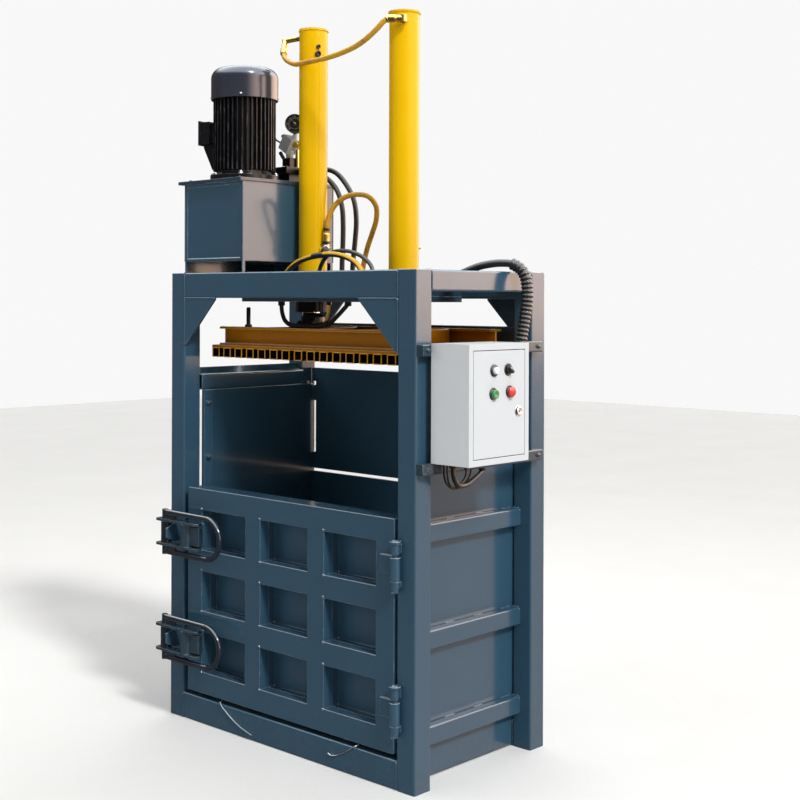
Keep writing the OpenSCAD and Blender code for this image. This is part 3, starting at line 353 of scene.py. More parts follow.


# %% Edge wear and highlight: sharp edges, for a thin coat, a painted highlight and chips
def build_edge_wear_and_highlight():
    kit, ins, outs = new_group("edge_wear", "ShaderNodeTree",
                               {"Amount": 0.5, "Chip Scale": 26.0, "Radius": 0.0024},
                               {"Edge": "Float", "Chips": "Float", "Normal": "Vector"})
    rounded = kit.add("ShaderNodeBevel", {"Radius": ins["Radius"]}, samples=6).outputs["Normal"]
    alike = kit.add("ShaderNodeVectorMath", {0: rounded, 1: kit.flat_normal()},
                    operation="DOT_PRODUCT").outputs["Value"]
    edge = kit.step(kit.math("SUBTRACT", 1.0, alike), 0.01, 0.16)
    chips = kit.step(kit.noise(kit.here(), ins["Chip Scale"], 5.0, 0.65), 0.5, 0.62)
    kit.feed(outs["Edge"], edge)
    kit.feed(outs["Chips"], kit.times(edge, chips, ins["Amount"]))
    kit.feed(outs["Normal"], rounded)
    return kit.tree


# %% Yard dust: on ledges, and splashed up from the floor
SPLASH_TOP = 0.34  # m above the floor


def build_yard_dust():
    kit, ins, outs = new_group("yard_dust", "ShaderNodeTree", {"Ledges": 0.4, "Splash": 0.5},
                               {"Dust": "Float"})
    here = kit.here()
    speckle = kit.noise(here, 38.0, 6.0, 0.7)
    patches = kit.step(kit.noise(here, 5.0, 5.0, 0.6), 0.38, 0.7)
    up = kit.step(kit.axes(kit.flat_normal())["Z"], 0.5, 0.95)
    ledge = kit.times(up, patches, ins["Ledges"], kit.step(speckle, 0.3, 0.6))
    low = kit.step(kit.math("SUBTRACT", SPLASH_TOP, kit.axes(here)["Z"]), 0.0, 0.32)
    splash = kit.times(low, kit.step(speckle, 0.48, 0.72), ins["Splash"])
    kit.feed(outs["Dust"], kit.math("ADD", ledge, splash, clamp=True))
    return kit.tree


ORANGE_PEEL = build_orange_peel()
EDGE_WEAR_AND_HIGHLIGHT = build_edge_wear_and_highlight()
YARD_DUST = build_yard_dust()
print("node groups:", ", ".join(group.name for group in (ORANGE_PEEL, EDGE_WEAR_AND_HIGHLIGHT, YARD_DUST)))


# %% [markdown]
# A paint mixes several colours: the coat, its slightly darker cloud, the lighter edge, which is
# partly the thin coat and partly a painted highlight, the bare metal of a chip, the sky's glint on
# an upward edge and the pale dust. Numbers that are the same all over, such as the coat's
# roughness, are typed on the shader's own sockets. Only what changes over the surface is wired.

# %% Paint builder
def srgb(r, g, b):
    """A colour picked as 0..255 numbers, as linear light for the shader."""
    def linear(c):
        c /= 255.0
        return c / 12.92 if c <= 0.04045 else ((c + 0.055) / 1.055) ** 2.4
    return (linear(r), linear(g), linear(b), 1.0)


def scaled(colour, factor):
    return (colour[0] * factor, colour[1] * factor, colour[2] * factor, 1.0)


BARE_METAL = (0.42, 0.42, 0.43, 1.0)
SKY_GLINT = srgb(214, 228, 238)
DUST = srgb(176, 172, 162)
PEEL_DEPTH = 0.0006  # m


def new_material(name, numbers):
    """A material with numbers typed on its shader: the material, its kit and the shader."""
    material = bpy.data.materials.new(name)
    material.use_nodes = True
    shader = material.node_tree.nodes["Principled BSDF"]
    for label, value in numbers.items():
        shader.inputs[label].default_value = value
    return material, NodeKit(material.node_tree), shader


def skylit(kit, rounded, amount):
    """How far the rounded edge of an upright face turns up to the sky, from 0 to the amount."""
    round_z, flat_z = kit.axes(rounded)["Z"], kit.axes(kit.flat_normal())["Z"]
    tilt = kit.math("SUBTRACT", kit.math("SUBTRACT", round_z, flat_z), 0.2)
    upright = kit.math("LESS_THAN", kit.math("ABSOLUTE", flat_z), 0.3)
    return kit.times(kit.times(tilt, 3.0, clamp=True), upright, amount)


def paint(name, colour, rough=0.28, coat=0.35, metal=0.0, peel=0.10, wear=0.5, edge=None,
          ledges=0.35, splash=0.45, peel_scale=320.0, shade=0.86, corner=0.0032, gloss=0.5,
          glint=0.0):
    """Sprayed enamel over metal. A glint draws the thin light on its upward edges."""
    material, kit, shader = new_material(name, {
        "Metallic": metal, "Specular IOR Level": gloss, "Coat Weight": coat,
        "Coat Roughness": 0.08})
    colour = srgb(*colour)
    coat_skin = kit.group(ORANGE_PEEL, {"Peel Scale": peel_scale})
    edges = kit.group(EDGE_WEAR_AND_HIGHLIGHT, {"Amount": wear, "Radius": corner})
    dust = kit.group(YARD_DUST, {"Ledges": ledges, "Splash": splash})["Dust"]
    base = kit.mixed(coat_skin["Cloud"], scaled(colour, shade), colour)
    # The lighter edge colour is partly the thin coat and partly a painted highlight.
    thin_coat_and_highlight = srgb(*edge) if edge else scaled(colour, 1.5)
    base = kit.mixed(kit.times(edges["Edge"], 0.6), base, thin_coat_and_highlight)
    base = kit.mixed(edges["Chips"], base, BARE_METAL)
    base = kit.mixed(skylit(kit, edges["Normal"], glint), base, SKY_GLINT)
    base = kit.mixed(kit.times(dust, 0.6), base, DUST)
    kit.feed(shader.inputs["Base Color"], base)
    dusty = kit.math("ADD", kit.times(dust, 0.45), rough, clamp=True)
    kit.feed(shader.inputs["Roughness"], dusty)
    kit.bump(shader, coat_skin["Height"], peel, PEEL_DEPTH, edges["Normal"])
    return material


# %% The paints
# Each edge colour is lighter than its paint: partly the thin coat, partly a painted highlight.
FINISHES = {
    "slate": paint("slate_enamel", (48, 78, 98), rough=0.2, coat=0.4, shade=0.92, ledges=0.1,
                   splash=0.04, edge=(104, 130, 150), corner=0.0042, glint=0.85),
    "latch_enamel": paint("latch_enamel", (26, 38, 50), rough=0.14, coat=0.6, shade=0.9,
                          edge=(90, 108, 124), ledges=0.0, splash=0.0, corner=0.002, glint=0.5),
    # A darker copy of the slate enamel, for parts in shade: painted shade.
    "slate_dark": paint("slate_enamel_shade", (38, 58, 72), rough=0.26, coat=0.3, ledges=0.1,
                        splash=0.04, edge=(80, 100, 116)),
    # A lighter, glossier copy of the slate for weld spots and pin caps: its lighter colour is a
    # painted highlight.
    "bright_slate": paint("slate_enamel_on_weld", (70, 92, 108), rough=0.12, coat=1.0, wear=0.2,
                          ledges=0.0, splash=0.0, edge=(140, 158, 170)),
    "yellow_paint": paint("yellow_enamel", (224, 176, 0), rough=0.26, coat=0.05, gloss=0.2,
                          shade=0.95, edge=(252, 212, 40)),
    # The golden enamel is darker than the channels' gold: partly the paint's own colour, partly a
    # painted shade for the webs under the flanges.
    "gold_paint": paint("golden_enamel", (150, 92, 0), rough=0.26, coat=0.2, gloss=0.3,
                        shade=0.84, edge=(250, 206, 50), ledges=0.1, glint=0.35),
    "channel_paint": paint("golden_enamel_channels", (196, 136, 4), rough=0.24, coat=0.2,
                           wear=0.2),
    "black_casting": paint("black_enamel", (20, 22, 27), rough=0.3, coat=0.1, gloss=0.25,
                           peel=0.25, ledges=0.5, wear=0.3),
    "zinc_plating": paint("zinc_plating", (206, 210, 214), rough=0.36, coat=0.1, peel=0.06,
                          wear=0.2, edge=(236, 238, 240), ledges=0.1, corner=0.0012),
    "cowl_paint": paint("fan_cowl_enamel", (52, 56, 70), rough=0.26, coat=0.4, metal=0.25,
                        ledges=0.3, wear=0.3),
    "cabinet_paint": paint("cabinet_powder_coat", (199, 202, 205), rough=0.42, coat=0.0,
                           gloss=0.12, peel=0.35, peel_scale=650.0, ledges=0.2, splash=0.2,
                           wear=0.25, shade=0.97, edge=(232, 234, 234), corner=0.0016),
}
print("paints:", len(FINISHES))


# %% [markdown]
# ## Bare metal, rubber and plastic
#
# What is not sprayed still shows how it was made: ground chrome is almost a mirror with fine
# rings round it, turned steel has brighter and duller bands, rubber is matt with a grey bloom,
# and hoses that were in the way of the spray gun carry a yellow mist.

# %% Metal, rubber and plastic
GRAIN_DEPTH = 0.0003  # m, of tool marks and moulded grain
WEAVE_DEPTH = 0.0004


def metal_finish(name, dark, light, rough, spread=0.2, grain=(60, 60, 900), strength=0.1):
    """Machined metal: fine parallel tool marks and a slow change of tone."""
    material, kit, shader = new_material(name, {"Metallic": 1.0, "Roughness": rough})
    marks = kit.noise(kit.grain(grain), 1.0, 4.0, 0.6)
    slow = kit.noise(kit.grain((7, 7, 7)), 1.0)
    tone = kit.step(kit.times(kit.math("ADD", marks, slow), 0.5), 0.3, 0.7)
    kit.feed(shader.inputs["Base Color"], kit.mixed(tone, srgb(*dark), srgb(*light)))
    rough_spots = kit.math("ADD", kit.times(marks, spread), rough - spread / 2)
    kit.feed(shader.inputs["Roughness"], rough_spots)
    kit.bump(shader, marks, strength, GRAIN_DEPTH, kit.group(EDGE_WEAR_AND_HIGHLIGHT)["Normal"])
    return material


def rubber_finish(name, colour, mist=None, from_above=False):
    """Hose rubber with a fabric-pressed skin, a grey bloom and, if given, a mist of paint."""
    material, kit, shader = new_material(name, {"Coat Weight": 0.15, "Coat Roughness": 0.3})
    here, colour = kit.here(), srgb(*colour)
    bloom = kit.step(kit.noise(here, 24.0, 5.0, 0.7), 0.45, 0.75)
    base = kit.mixed(kit.times(bloom, 0.35), colour, scaled(colour, 2.6))
    if mist:
        patches = kit.step(kit.noise(here, 15.0, 6.0, 0.75), 0.22, 0.5)
        if from_above:
            up = kit.step(kit.axes(kit.flat_normal())["Z"], -0.1, 0.15)
            patches = kit.times(patches, up)
        base = kit.mixed(patches, base, srgb(*mist))
    kit.feed(shader.inputs["Base Color"], base)
    kit.bump(shader, kit.noise(here, 900.0, 1.0), 0.25, WEAVE_DEPTH)
    return material


def plastic_finish(name, colour, rough=0.35, coat=0.2, grain=0.12):
    """Moulded plastic with a fine spark-eroded grain."""
    material, kit, shader = new_material(name, {"Roughness": rough, "Coat Weight": coat})
    here, colour = kit.here(), srgb(*colour)
    tone = kit.noise(here, 40.0)
    kit.feed(shader.inputs["Base Color"],
             kit.mixed(tone, scaled(colour, 0.82), scaled(colour, 1.12)))
    normal = kit.group(EDGE_WEAR_AND_HIGHLIGHT)["Normal"]
    kit.bump(shader, kit.noise(here, 1400.0, 2.0), grain, GRAIN_DEPTH, normal)
    return material


# %% The finishes that aren't paint
FINISHES.update({
    "chrome_rod": metal_finish("ground_chrome", (196, 199, 203), (232, 234, 236), 0.12, 0.08),
    "machined_steel": metal_finish("machined_steel", (128, 130, 134), (186, 188, 191), 0.36),
    "fitting_brass": metal_finish("plated_fittings", (150, 128, 66), (206, 184, 112), 0.34,
                                  grain=(300, 300, 300)),
    "bright_screws": metal_finish("bright_screws", (150, 152, 156), (206, 208, 210), 0.3,
                                  grain=(400, 400, 400)),
    "baling_wire": metal_finish("annealed_wire", (136, 148, 152), (206, 216, 220), 0.4,
                                grain=(700, 700, 700), strength=0.3),
    "black_hose": rubber_finish("hose_rubber", (24, 24, 25)),
    "misted_hose": rubber_finish("hose_rubber_with_paint_mist", (26, 25, 22), (206, 158, 20),
                                 from_above=True),
    "yellow_hose": rubber_finish("hose_rubber_oversprayed", (60, 46, 16), (198, 146, 22)),
    "conduit_plastic": plastic_finish("conduit_polyamide", (22, 22, 24), rough=0.4),
    "black_plastic": plastic_finish("black_moulding", (24, 24, 26), rough=0.32),
    "green_plastic": plastic_finish("green_moulding", (20, 124, 66), 0.22, 0.5, 0.03),
    "red_plastic": plastic_finish("red_moulding", (196, 30, 36), 0.22, 0.5, 0.03),
    "pale_plastic": plastic_finish("lamp_lens", (228, 232, 236), 0.16, 0.8, 0.02),
    "gasket": plastic_finish("gasket_foam", (34, 34, 35), 0.8, 0.0, 0.5),
    "gauge_face": plastic_finish("gauge_dial_print", (30, 33, 42), 0.3, 0.6, 0.02),
})
print("finishes:", len(FINISHES))


# %% [markdown]
# ## Painting the CAD solids
#
# The record says which material slot each solid has. The mesh of a CAD solid is never changed,
# so painting it means only filling its material slots. A few solids get a finish of their own.

# %% Assign finishes to the solids
IN_SHADE = srgb(16, 12, 6)
# The latch brackets take the darker copy of the slate: painted shade.
OWN_FINISH = {
    "upper_latch_handle": "latch_enamel", "lower_latch_handle": "latch_enamel",
    "latch_brackets": "slate_dark", "solenoid_valve": "zinc_plating",
    "platen_channels": "channel_paint",
}


def shade_inside(material, low, high):
    """Darkens a finish inside a box of the piece, given by two corners in metres."""
    kit = NodeKit(material.node_tree)
    here, inside = kit.axes(kit.here()), 1.0
    for axis, a, b in zip("XYZ", low, high):
        inside = kit.times(kit.math("GREATER_THAN", here[axis], a),
                           kit.math("LESS_THAN", here[axis], b), inside)
    base = material.node_tree.nodes["Principled BSDF"].inputs["Base Color"]
    kit.feed(base, kit.mixed(inside, base.links[0].from_socket, IN_SHADE))


channel_ys, channel_zs = [[Vector(corner)[axis] for corner in nodes["platen_channels"].bound_box]
                          for axis in (1, 2)]
shade_inside(FINISHES["channel_paint"],
             (-1.0, min(channel_ys) + 0.003, min(channel_zs) + 0.0005),
             (1.0, max(channel_ys) - 0.003, max(channel_zs) + 0.01))
for part in frame["record"]["subparts"]:
    finish = FINISHES[OWN_FINISH.get(part["node"], part["material_slot"])]
    target = nodes[part["node"]]
    if not target.material_slots:
        target.data.materials.append(finish)
    for material_slot in target.material_slots:
        material_slot.material = finish
print("painted solids:", len(nodes))

# %% [markdown]
# An added piece has its edges softened and shaded. Then it gets a finish and a body of the
# mechanism to ride on.

# %% Bevels and shading
def soften_edges(obj, width):
    """Rounds the edges of a piece with a bevel, applied at once."""
    modifier = obj.modifiers.new("bevel", "BEVEL")
    modifier.width = width
    modifier.segments = 2
    modifier.limit_method = "ANGLE"
    modifier.angle_limit = math.radians(40)
    graph = bpy.context.evaluated_depsgraph_get()
    mesh = bpy.data.meshes.new_from_object(obj.evaluated_get(graph))
    obj.modifiers.clear()
    obj.data = mesh


def shade_by_angle(obj, degrees):
    """Smooth shading that stays sharp where two faces meet at more than this angle."""
    bm = bmesh.new()
    bm.from_mesh(obj.data)
    limit = math.radians(degrees)
    for face in bm.faces:
        face.smooth = True
    for edge in bm.edges:
        edge.smooth = len(edge.link_faces) == 2 and edge.calc_face_angle(0) < limit
    bm.to_mesh(obj.data)
    bm.free()


def dress(obj, finish, body="frame"):
    """Gives a finished piece its material and its body."""
    obj.data.materials.clear()
    obj.data.materials.append(FINISHES[finish])
    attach(obj, body)
    print(obj.name, "on", body + ":", len(obj.data.polygons), "faces")
    return obj


def detail(name, bm, finish, body="frame", slot=None, bevel=0.0, angle=35):
    """An added piece from a bmesh: bevel in millimetres, shading, finish and body. The slot is not
    used.
    """
    obj = new_object(name, bm)
    if bevel:
        soften_edges(obj, bevel / 1000)
    shade_by_angle(obj, angle)
    return dress(obj, finish, body)


# %% [markdown]
# ## Hoses and their ferrules
#
# Each hose replaces the plain tube of the CAD. A crimped, plated ferrule grips each end: its
# shallow crimps show as rings. The crossover hose at the top was sprayed along with the
# cylinders, so its rubber is nearly all yellow.

# %% Hoses
HOSE_D = 0.020
FERRULE = 0.040  # length
COLLAR_R, CRIMP_R, CRIMP_DEPTH, CRIMP_PITCH = 0.0122, 0.0140, 0.0010, 0.0052


def crimp(s):
    """Outer radius of a ferrule along its length: a collar at each end, and crimped rings."""
    if s < 0.004 or s > FERRULE - 0.003:
        return COLLAR_R
    return CRIMP_R - CRIMP_DEPTH * (0.5 + 0.5 * math.cos(2 * math.pi * s / CRIMP_PITCH)) ** 4


for name, finish, slot, lay in (("crossover_hose", "yellow_hose", "yellow_hose", "hanging"),
                                ("front_hose", "misted_hose", "black_hose", "taut"),
                                ("riser_hose", "yellow_hose", "black_hose", "taut"),
                                ("pressure_hose", "black_hose", "black_hose", "taut"),
                                ("return_hose", "black_hose", "black_hose", "taut")):
    curve = smooth_route(ROUTES[name])
    hose = detail(name + "_rubber", tube(curve, HOSE_D / 2, 18), finish, slot=slot, angle=60)
    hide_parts(name)
    total = route_length(curve)
    ends = (part_of_route(curve, 0.0, FERRULE), part_of_route(curve, total - FERRULE, total)[::-1])
    sleeves = detail(name + "_ferrules", merged(*[tube(end, crimp, 20) for end in ends]),
                     "fitting_brass", angle=60)


# %% [markdown]
# ## A tree for anything ribbed along a path
#
# Corrugated conduit and a weld bead have one thing in common: a round section whose radius
# ripples along a line. One Geometry Nodes tree makes both. It resamples the path, sets the
# radius from the distance along it, sweeps a circle, and ends in Realize Instances and Set
# Material, so that the result is a plain mesh.

# %% The ribbed tree
MESH = {"Geometry": "Geometry"}


def end_tree(kit, ins, outs, geometry):
    """The last nodes of a tree: real geometry with its material."""
    real = kit.add("GeometryNodeRealizeInstances", {"Geometry": geometry})
    done = kit.add("GeometryNodeSetMaterial", {
        "Geometry": real.outputs["Geometry"], "Material": ins["Finish"]})
    kit.feed(outs["Geometry"], done.outputs["Geometry"])
    return kit.tree


def build_ribbed_tree():
    kit, ins, outs = new_group("ribbed_sweep", "GeometryNodeTree", {
        **MESH, "Radius": 0.02, "Ripple": 0.1, "Pitch": 0.008, "Step": 0.002, "Sides": 24,
        "Finish": "Material"}, MESH)
    path = kit.add("GeometryNodeResampleCurve", {
        "Curve": ins["Geometry"], "Length": ins["Step"]}, mode="LENGTH")
    along = kit.add("GeometryNodeSplineParameter").outputs["Length"]
    turns = kit.math("DIVIDE", along, ins["Pitch"])
    wave = kit.math("SINE", kit.times(turns, 2 * math.pi))
    squared = kit.times(wave, kit.math("SUBTRACT", 1.6, kit.math("ABSOLUTE", wave)))
    ripple = kit.times(squared, ins["Ripple"])
    radius = kit.times(kit.math("ADD", ripple, 1.0), ins["Radius"])
    line = kit.add("GeometryNodeSetCurveRadius", {
        "Curve": path.outputs["Curve"], "Radius": radius})
    section = kit.add("GeometryNodeCurvePrimitiveCircle", {
        "Radius": 1.0, "Resolution": ins["Sides"]}, mode="RADIUS")
    sweep = kit.add("GeometryNodeCurveToMesh", {
        "Curve": line.outputs["Curve"], "Profile Curve": section.outputs["Curve"],
        "Fill Caps": True})
    if "Scale" in sweep.inputs:
        kit.feed(sweep.inputs["Scale"], radius)
    smooth = kit.add("GeometryNodeSetShadeSmooth", {"Geometry": sweep.outputs["Mesh"]})
    return end_tree(kit, ins, outs, smooth.outputs["Geometry"])


RIBBED = build_ribbed_tree()
print("tree:", RIBBED.name, "with", len(RIBBED.nodes), "nodes")


# %% From lines and a tree to a plain mesh
def lines_object(name, lines):
    """A poly curve object with one spline for each line of points."""
    data = bpy.data.curves.new(name, "CURVE")
    data.dimensions = "3D"
    for points in lines:
        spline = data.splines.new("POLY")
        spline.points.add(len(points) - 1)
        for target, point in zip(spline.points, points):
            target.co = (*point, 1.0)
    return linked(name, data)


def grown(source, tree, finish, **inputs):
    """Runs a Geometry Nodes tree on an object and returns the result as a plain mesh object."""
    modifier = source.modifiers.new(tree.name, "NODES")
    modifier.node_group = tree
    inputs["Finish"] = FINISHES[finish]
    for item in tree.interface.items_tree:
        if item.in_out == "INPUT" and item.name in inputs:
            modifier[item.identifier] = inputs[item.name]
    graph = bpy.context.evaluated_depsgraph_get()
    mesh = bpy.data.meshes.new_from_object(source.evaluated_get(graph))
    name = source.name
    bpy.data.objects.remove(source)
    return linked(name + "_piece", mesh)


# %% [markdown]
# The conduit to the control cabinet is corrugated polyamide, 42 mm across. It leaves the rail
# behind the cylinders through a gland nut, in a plain sleeve. The ribs begin where it has climbed
# over the top beam. From there it comes down and turns into the rear side of the cabinet.

# %% Conduit and cabinet cable
NUT_LENGTH, NUT_R, SLEEVE_R = 0.028, 0.0205, 0.0135
RIBS_FROM = mm(640, 148, 1728)

curve = smooth_route(ROUTES["conduit"])
first_rib = min(range(len(curve)), key=lambda i: (curve[i] - RIBS_FROM).length)
conduit = grown(lines_object("conduit", [curve[first_rib:]]), RIBBED, "conduit_plastic",
                Radius=0.0196, Ripple=0.13, Pitch=0.0150, Step=0.0015, Sides=32)
sleeve = tube(curve[:first_rib + 2], lambda s: NUT_R if s < NUT_LENGTH else SLEEVE_R, 28)
sleeve.from_mesh(conduit.data)
sleeve.to_mesh(conduit.data)
sleeve.free()
dress(conduit, "conduit_plastic")
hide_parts("conduit")

curve = smooth_route(ROUTES["cabinet_cable"])
cable = detail("cabinet_cable_sheath", tube(curve, 0.008, 18), "black_hose", angle=180)
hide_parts("cabinet_cable")

# %% [markdown]
# ## Weld beads
#
# The frame is welded tube, and a weld is the one thing that a clean CAD model never shows. Each
# seam is a line on the model; the ribbed tree turns it into a bead whose ripples are the welder's
# rhythm, about one every 5 mm. The beads were sprayed with the frame, so they carry its paint.

# %% Seams of the frame
FRONT, BACK = -345, 345
POST_IN_X, POST_IN_Y = 560, 265
BEAM_Z, SIDE_BEAM_Z, TOP_Z = 1605, 1628, 1700
RIB_ZS = (153, 471, 826)
BOTH = (-1, 1)  # left and right, or below and above
X_AXIS, Z_AXIS = Vector((1, 0, 0)), Vector((0, 0, 1))


def seam(*points):
    return [mm(*p) for p in points]


def upright(x, y, z0, z1):
    return seam((x, y, z0), (x, y, z1))


def across(x0, x1, y, z):
    return seam((x0, y, z), (x1, y, z))


def deep(x, y0, y1, z):
    return seam((x, y0, z), (x, y1, z))


def ring_seam(center, radius, towards=Z_AXIS):
    """A round seam about an axis through the centre, in millimetres."""
    turn = Vector(towards).normalized().to_track_quat("Z", "Y").to_matrix()
    angles = [math.radians(9 * k) for k in range(41)]
    return [mm(*center) + turn @ Vector((math.cos(a), math.sin(a), 0)) * radius / 1000
            for a in angles]


def stitches(a, b, length=45, gap=80):
    """Short welds in a row from a to b, the way long ribs are held."""
    a, b = Vector(a), Vector(b)
    whole = (b - a).length
    count = max(2, int((whole + gap) // (length + gap)))
    step = (whole - length) / (count - 1)
    along = (b - a).normalized()
    return [seam(a + along * step * i, a + along * (step * i + length)) for i in range(count)]


frame_seams = []
for side in BOTH:
    x = side * POST_IN_X
    for y, inner in ((FRONT, FRONT + 80), (BACK, BACK - 80)):
        frame_seams += [
            upright(x, y, BEAM_Z + 7, TOP_Z - 6),
            deep(x, y, inner, TOP_Z - 0.5),
            upright(x, y, 4, 92),
            upright(x, inner, BEAM_Z + 3, TOP_Z - 6),
            across(x - side * 178, x - side * 4, y, BEAM_Z),
            upright(x, y, BEAM_Z - 4, BEAM_Z - 176)]
    for y in (-POST_IN_Y, POST_IN_Y):
        frame_seams += [
            upright(side * 640, y, SIDE_BEAM_Z + 7, TOP_Z - 7),
            across(side * 561, side * 636, y, TOP_Z - 0.5),
            across(side * 566, side * 634, y, SIDE_BEAM_Z)]
        for z in RIB_ZS:
            frame_seams += [upright(side * 590, y, z - 26, z + 26),
                            across(side * 584, side * 558, y, z + 32)]
        frame_seams.append(upright(side * 589, y, 1256, 1306))
    for z in [z + lift for z in RIB_ZS for lift in (32, -32)] + [1250]:
        frame_seams += stitches((side * 555.5, -250, z), (side * 555.5, 250, z))
for x in (-315, 315):
    frame_seams.append(deep(x, -262, 262, 1612))
frame_seams += stitches((-310, -264.5, 1612), (310, -264.5, 1612), 60, 60)
for z in RIB_ZS + (1210,):
    frame_seams += stitches((-540, 327.5, z + 32), (540, 327.5, z + 32), 45, 120)
print("frame seams:", len(frame_seams), "lines,",
      round(sum(map(route_length, frame_seams)), 1), "m")

# %% Seams of the tank, the cylinders and the door
TANK_X0, TANK_X1, TANK_Y0, TANK_Y1 = -650, -305, -272, 198
tank_seams = [upright(x, y, 1747, 2044) for x in (TANK_X0, TANK_X1) for y in (TANK_Y0, TANK_Y1)]
tank_seams += stitches((TANK_X0, TANK_Y0 + 8, 1745), (TANK_X0, TANK_Y1 - 8, 1745), 40, 50)
tank_seams += stitches((TANK_X0 + 8, TANK_Y1, 1745), (TANK_X1 - 8, TANK_Y1, 1745), 40, 50)

ROD_XS, ROD_Y = (-240, 240), 28
cylinder_seams = [ring_seam((x, ROD_Y, z), radius) for x in ROD_XS
                  for z, radius in ((1626, 55.5), (1612.6, 62.5), (2635.5, 55.4))]
cylinder_seams += [ring_seam((-295.6, 28, 2621), 15.5, (-1, 0, 0)),
                   ring_seam((275.5, -14.4, 2605), 15.5, (0.643, -0.766, 0)),
                   ring_seam((-184.6, 28, 1792), 14.5, X_AXIS),
                   ring_seam((240, 83.6, 1792), 14.5, (0, 1, 0))]

# The door's nine pockets, by their lower left corners
POCKETS = [(-448 + i * 332, 195 + j * 230) for i in range(3) for j in range(3)]
POCKET_W, POCKET_H, POCKET_FLOOR = 250, 150, -273.5
HINGE_ZS, LATCH_ZS = (257, 727), (314, 714)
PLATE_Y = -345.5  # seams on the face of the door and the posts
door_seams = []
for x0, z0 in POCKETS:
    x1, z1, y = x0 + POCKET_W, z0 + POCKET_H, POCKET_FLOOR
    door_seams.append(seam((x0, y, z0), (x1, y, z0), (x1, y, z1), (x0, y, z1), (x0, y, z0)))
    door_seams += [deep(x, -343, -276, z) for x in (x0, x1) for z in (z0, z1)]
for z in HINGE_ZS:
    low, high = z - 22, z + 38
    door_seams += [upright(491.5, PLATE_Y, low, high), across(491.5, 546, -346, high),
                   across(491.5, 546, -346, low), upright(554, -353.5, low + 2, high - 2)]
for z in LATCH_ZS:
    door_seams += [upright(x, PLATE_Y, z - 40, z + 40) for x in (-484.5, -439.5)]
hinge_seams = []
for z in HINGE_ZS:
    for low, high in ((z + 51, z + 81), (z - 61.5, z - 42.5)):
        hinge_seams.append(seam((563.5, PLATE_Y, low), (563.5, PLATE_Y, high),
                                (578.5, PLATE_Y, high), (578.5, PLATE_Y, low)))
for z in LATCH_ZS:
    hinge_seams += [upright(x, PLATE_Y, z - 34, z + 34) for x in (-561, -569)]
print("seams:", len(tank_seams), "on the tank,", len(cylinder_seams), "on the cylinders,",
      len(door_seams), "on the door,", len(hinge_seams), "at its hinges and latches")

# %% Beads along the seams
BEAD_LIMIT_Y = 0.3452  # beads on the rear face were ground nearly flush


def beads(name, lines, finish, body="frame", radius=0.0026, pitch=0.0052):
    """Weld beads along a list of lines, as one piece."""
    obj = grown(lines_object(name, lines), RIBBED, finish,
                Radius=radius, Ripple=0.14, Pitch=pitch, Step=pitch / 3.5, Sides=8)
    for v in obj.data.vertices:
        v.co.y = min(v.co.y, BEAD_LIMIT_Y)
    dress(obj, finish, body)


beads("frame_beads", frame_seams, "slate")
beads("tank_beads", tank_seams, "slate", radius=0.0022)
beads("cylinder_beads", cylinder_seams, "yellow_paint", radius=0.003, pitch=0.006)
beads("door_beads", door_seams, "slate", "door", radius=0.0024)
beads("hinge_beads", hinge_seams, "slate", radius=0.0028)


# %% [markdown]
# ## Bolts and screws
#
# A second Geometry Nodes tree sets copies of one small piece on points. Each point carries two
# named attributes: the direction it faces and the size of its thread. One list of places and one
# lathe-turned head are then enough for all the screws of a kind.

# %% The tree that places fasteners
def build_scatter_tree():
    kit, ins, outs = new_group("placed_pieces", "GeometryNodeTree", {
        **MESH, "Piece": "Object", "Finish": "Material"}, MESH)
    piece = kit.add("GeometryNodeObjectInfo", {"Object": ins["Piece"]})
    towards, size = [
        kit.add("GeometryNodeInputNamedAttribute", {"Name": name}, data_type=kind)
        for name, kind in (("towards", "FLOAT_VECTOR"), ("size", "FLOAT"))]
    align = kit.add("FunctionNodeAlignRotationToVector", {
        "Vector": towards.outputs["Attribute"]}, axis="Z")
    scatter = kit.add("GeometryNodeInstanceOnPoints", {
        "Points": ins["Geometry"], "Instance": piece.outputs["Geometry"],
        "Rotation": align.outputs["Rotation"], "Scale": size.outputs["Attribute"]})
    return end_tree(kit, ins, outs, scatter.outputs["Instances"])


PLACED = build_scatter_tree()
print("tree:", PLACED.name, "with", len(PLACED.nodes), "nodes")


def placed(name, piece, spots, finish, body="frame"):
    """Copies of a piece at (point, direction, size) spots in millimetres, as one plain mesh."""
    source = new_object(name + "_source", piece)
    shade_by_angle(source, 38)
    points = bpy.data.meshes.new(name + "_points")
    points.from_pydata([mm(*at) for at, _, _ in spots], [], [])
    points.attributes.new("towards", "FLOAT_VECTOR", "POINT")
    points.attributes.new("size", "FLOAT", "POINT")
    for i, (_, direction, size) in enumerate(spots):
        points.attributes["towards"].data[i].vector = Vector(direction).normalized()
        points.attributes["size"].data[i].value = size / 1000.0
    obj = grown(linked(name, points), PLACED, finish, Piece=source)
    bpy.data.objects.remove(source)
    dress(obj, finish, body)


# %% A lathe, and heads one thread diameter across
def turned(profile, sides):
    """A lathe: (radius, height) pairs turned about Z."""
    bm = bmesh.new()
    rings = []
    for r, h in profile:
        spots = circle(sides) if r > 1e-6 else [(0, 0)]
        rings.append([bm.verts.new((r * c, r * s, h)) for c, s in spots])
    skin(bm, rings, sides)
    return bm


def hex_bolt():
    """Chamfered hexagon head on a washer, with the end of the thread through a nut's top."""
    return merged(
        turned([(0, 0), (1.06, 0), (1.06, 0.16), (1.0, 0.2), (0, 0.2)], 28),
        turned([(0, 0.2), (0.94, 0.2), (0.94, 0.78), (0.78, 0.87), (0, 0.87)], 6),
        turned([(0, 0.86), (0.5, 0.86), (0.5, 1.12), (0.42, 1.2), (0, 1.2)], 20))


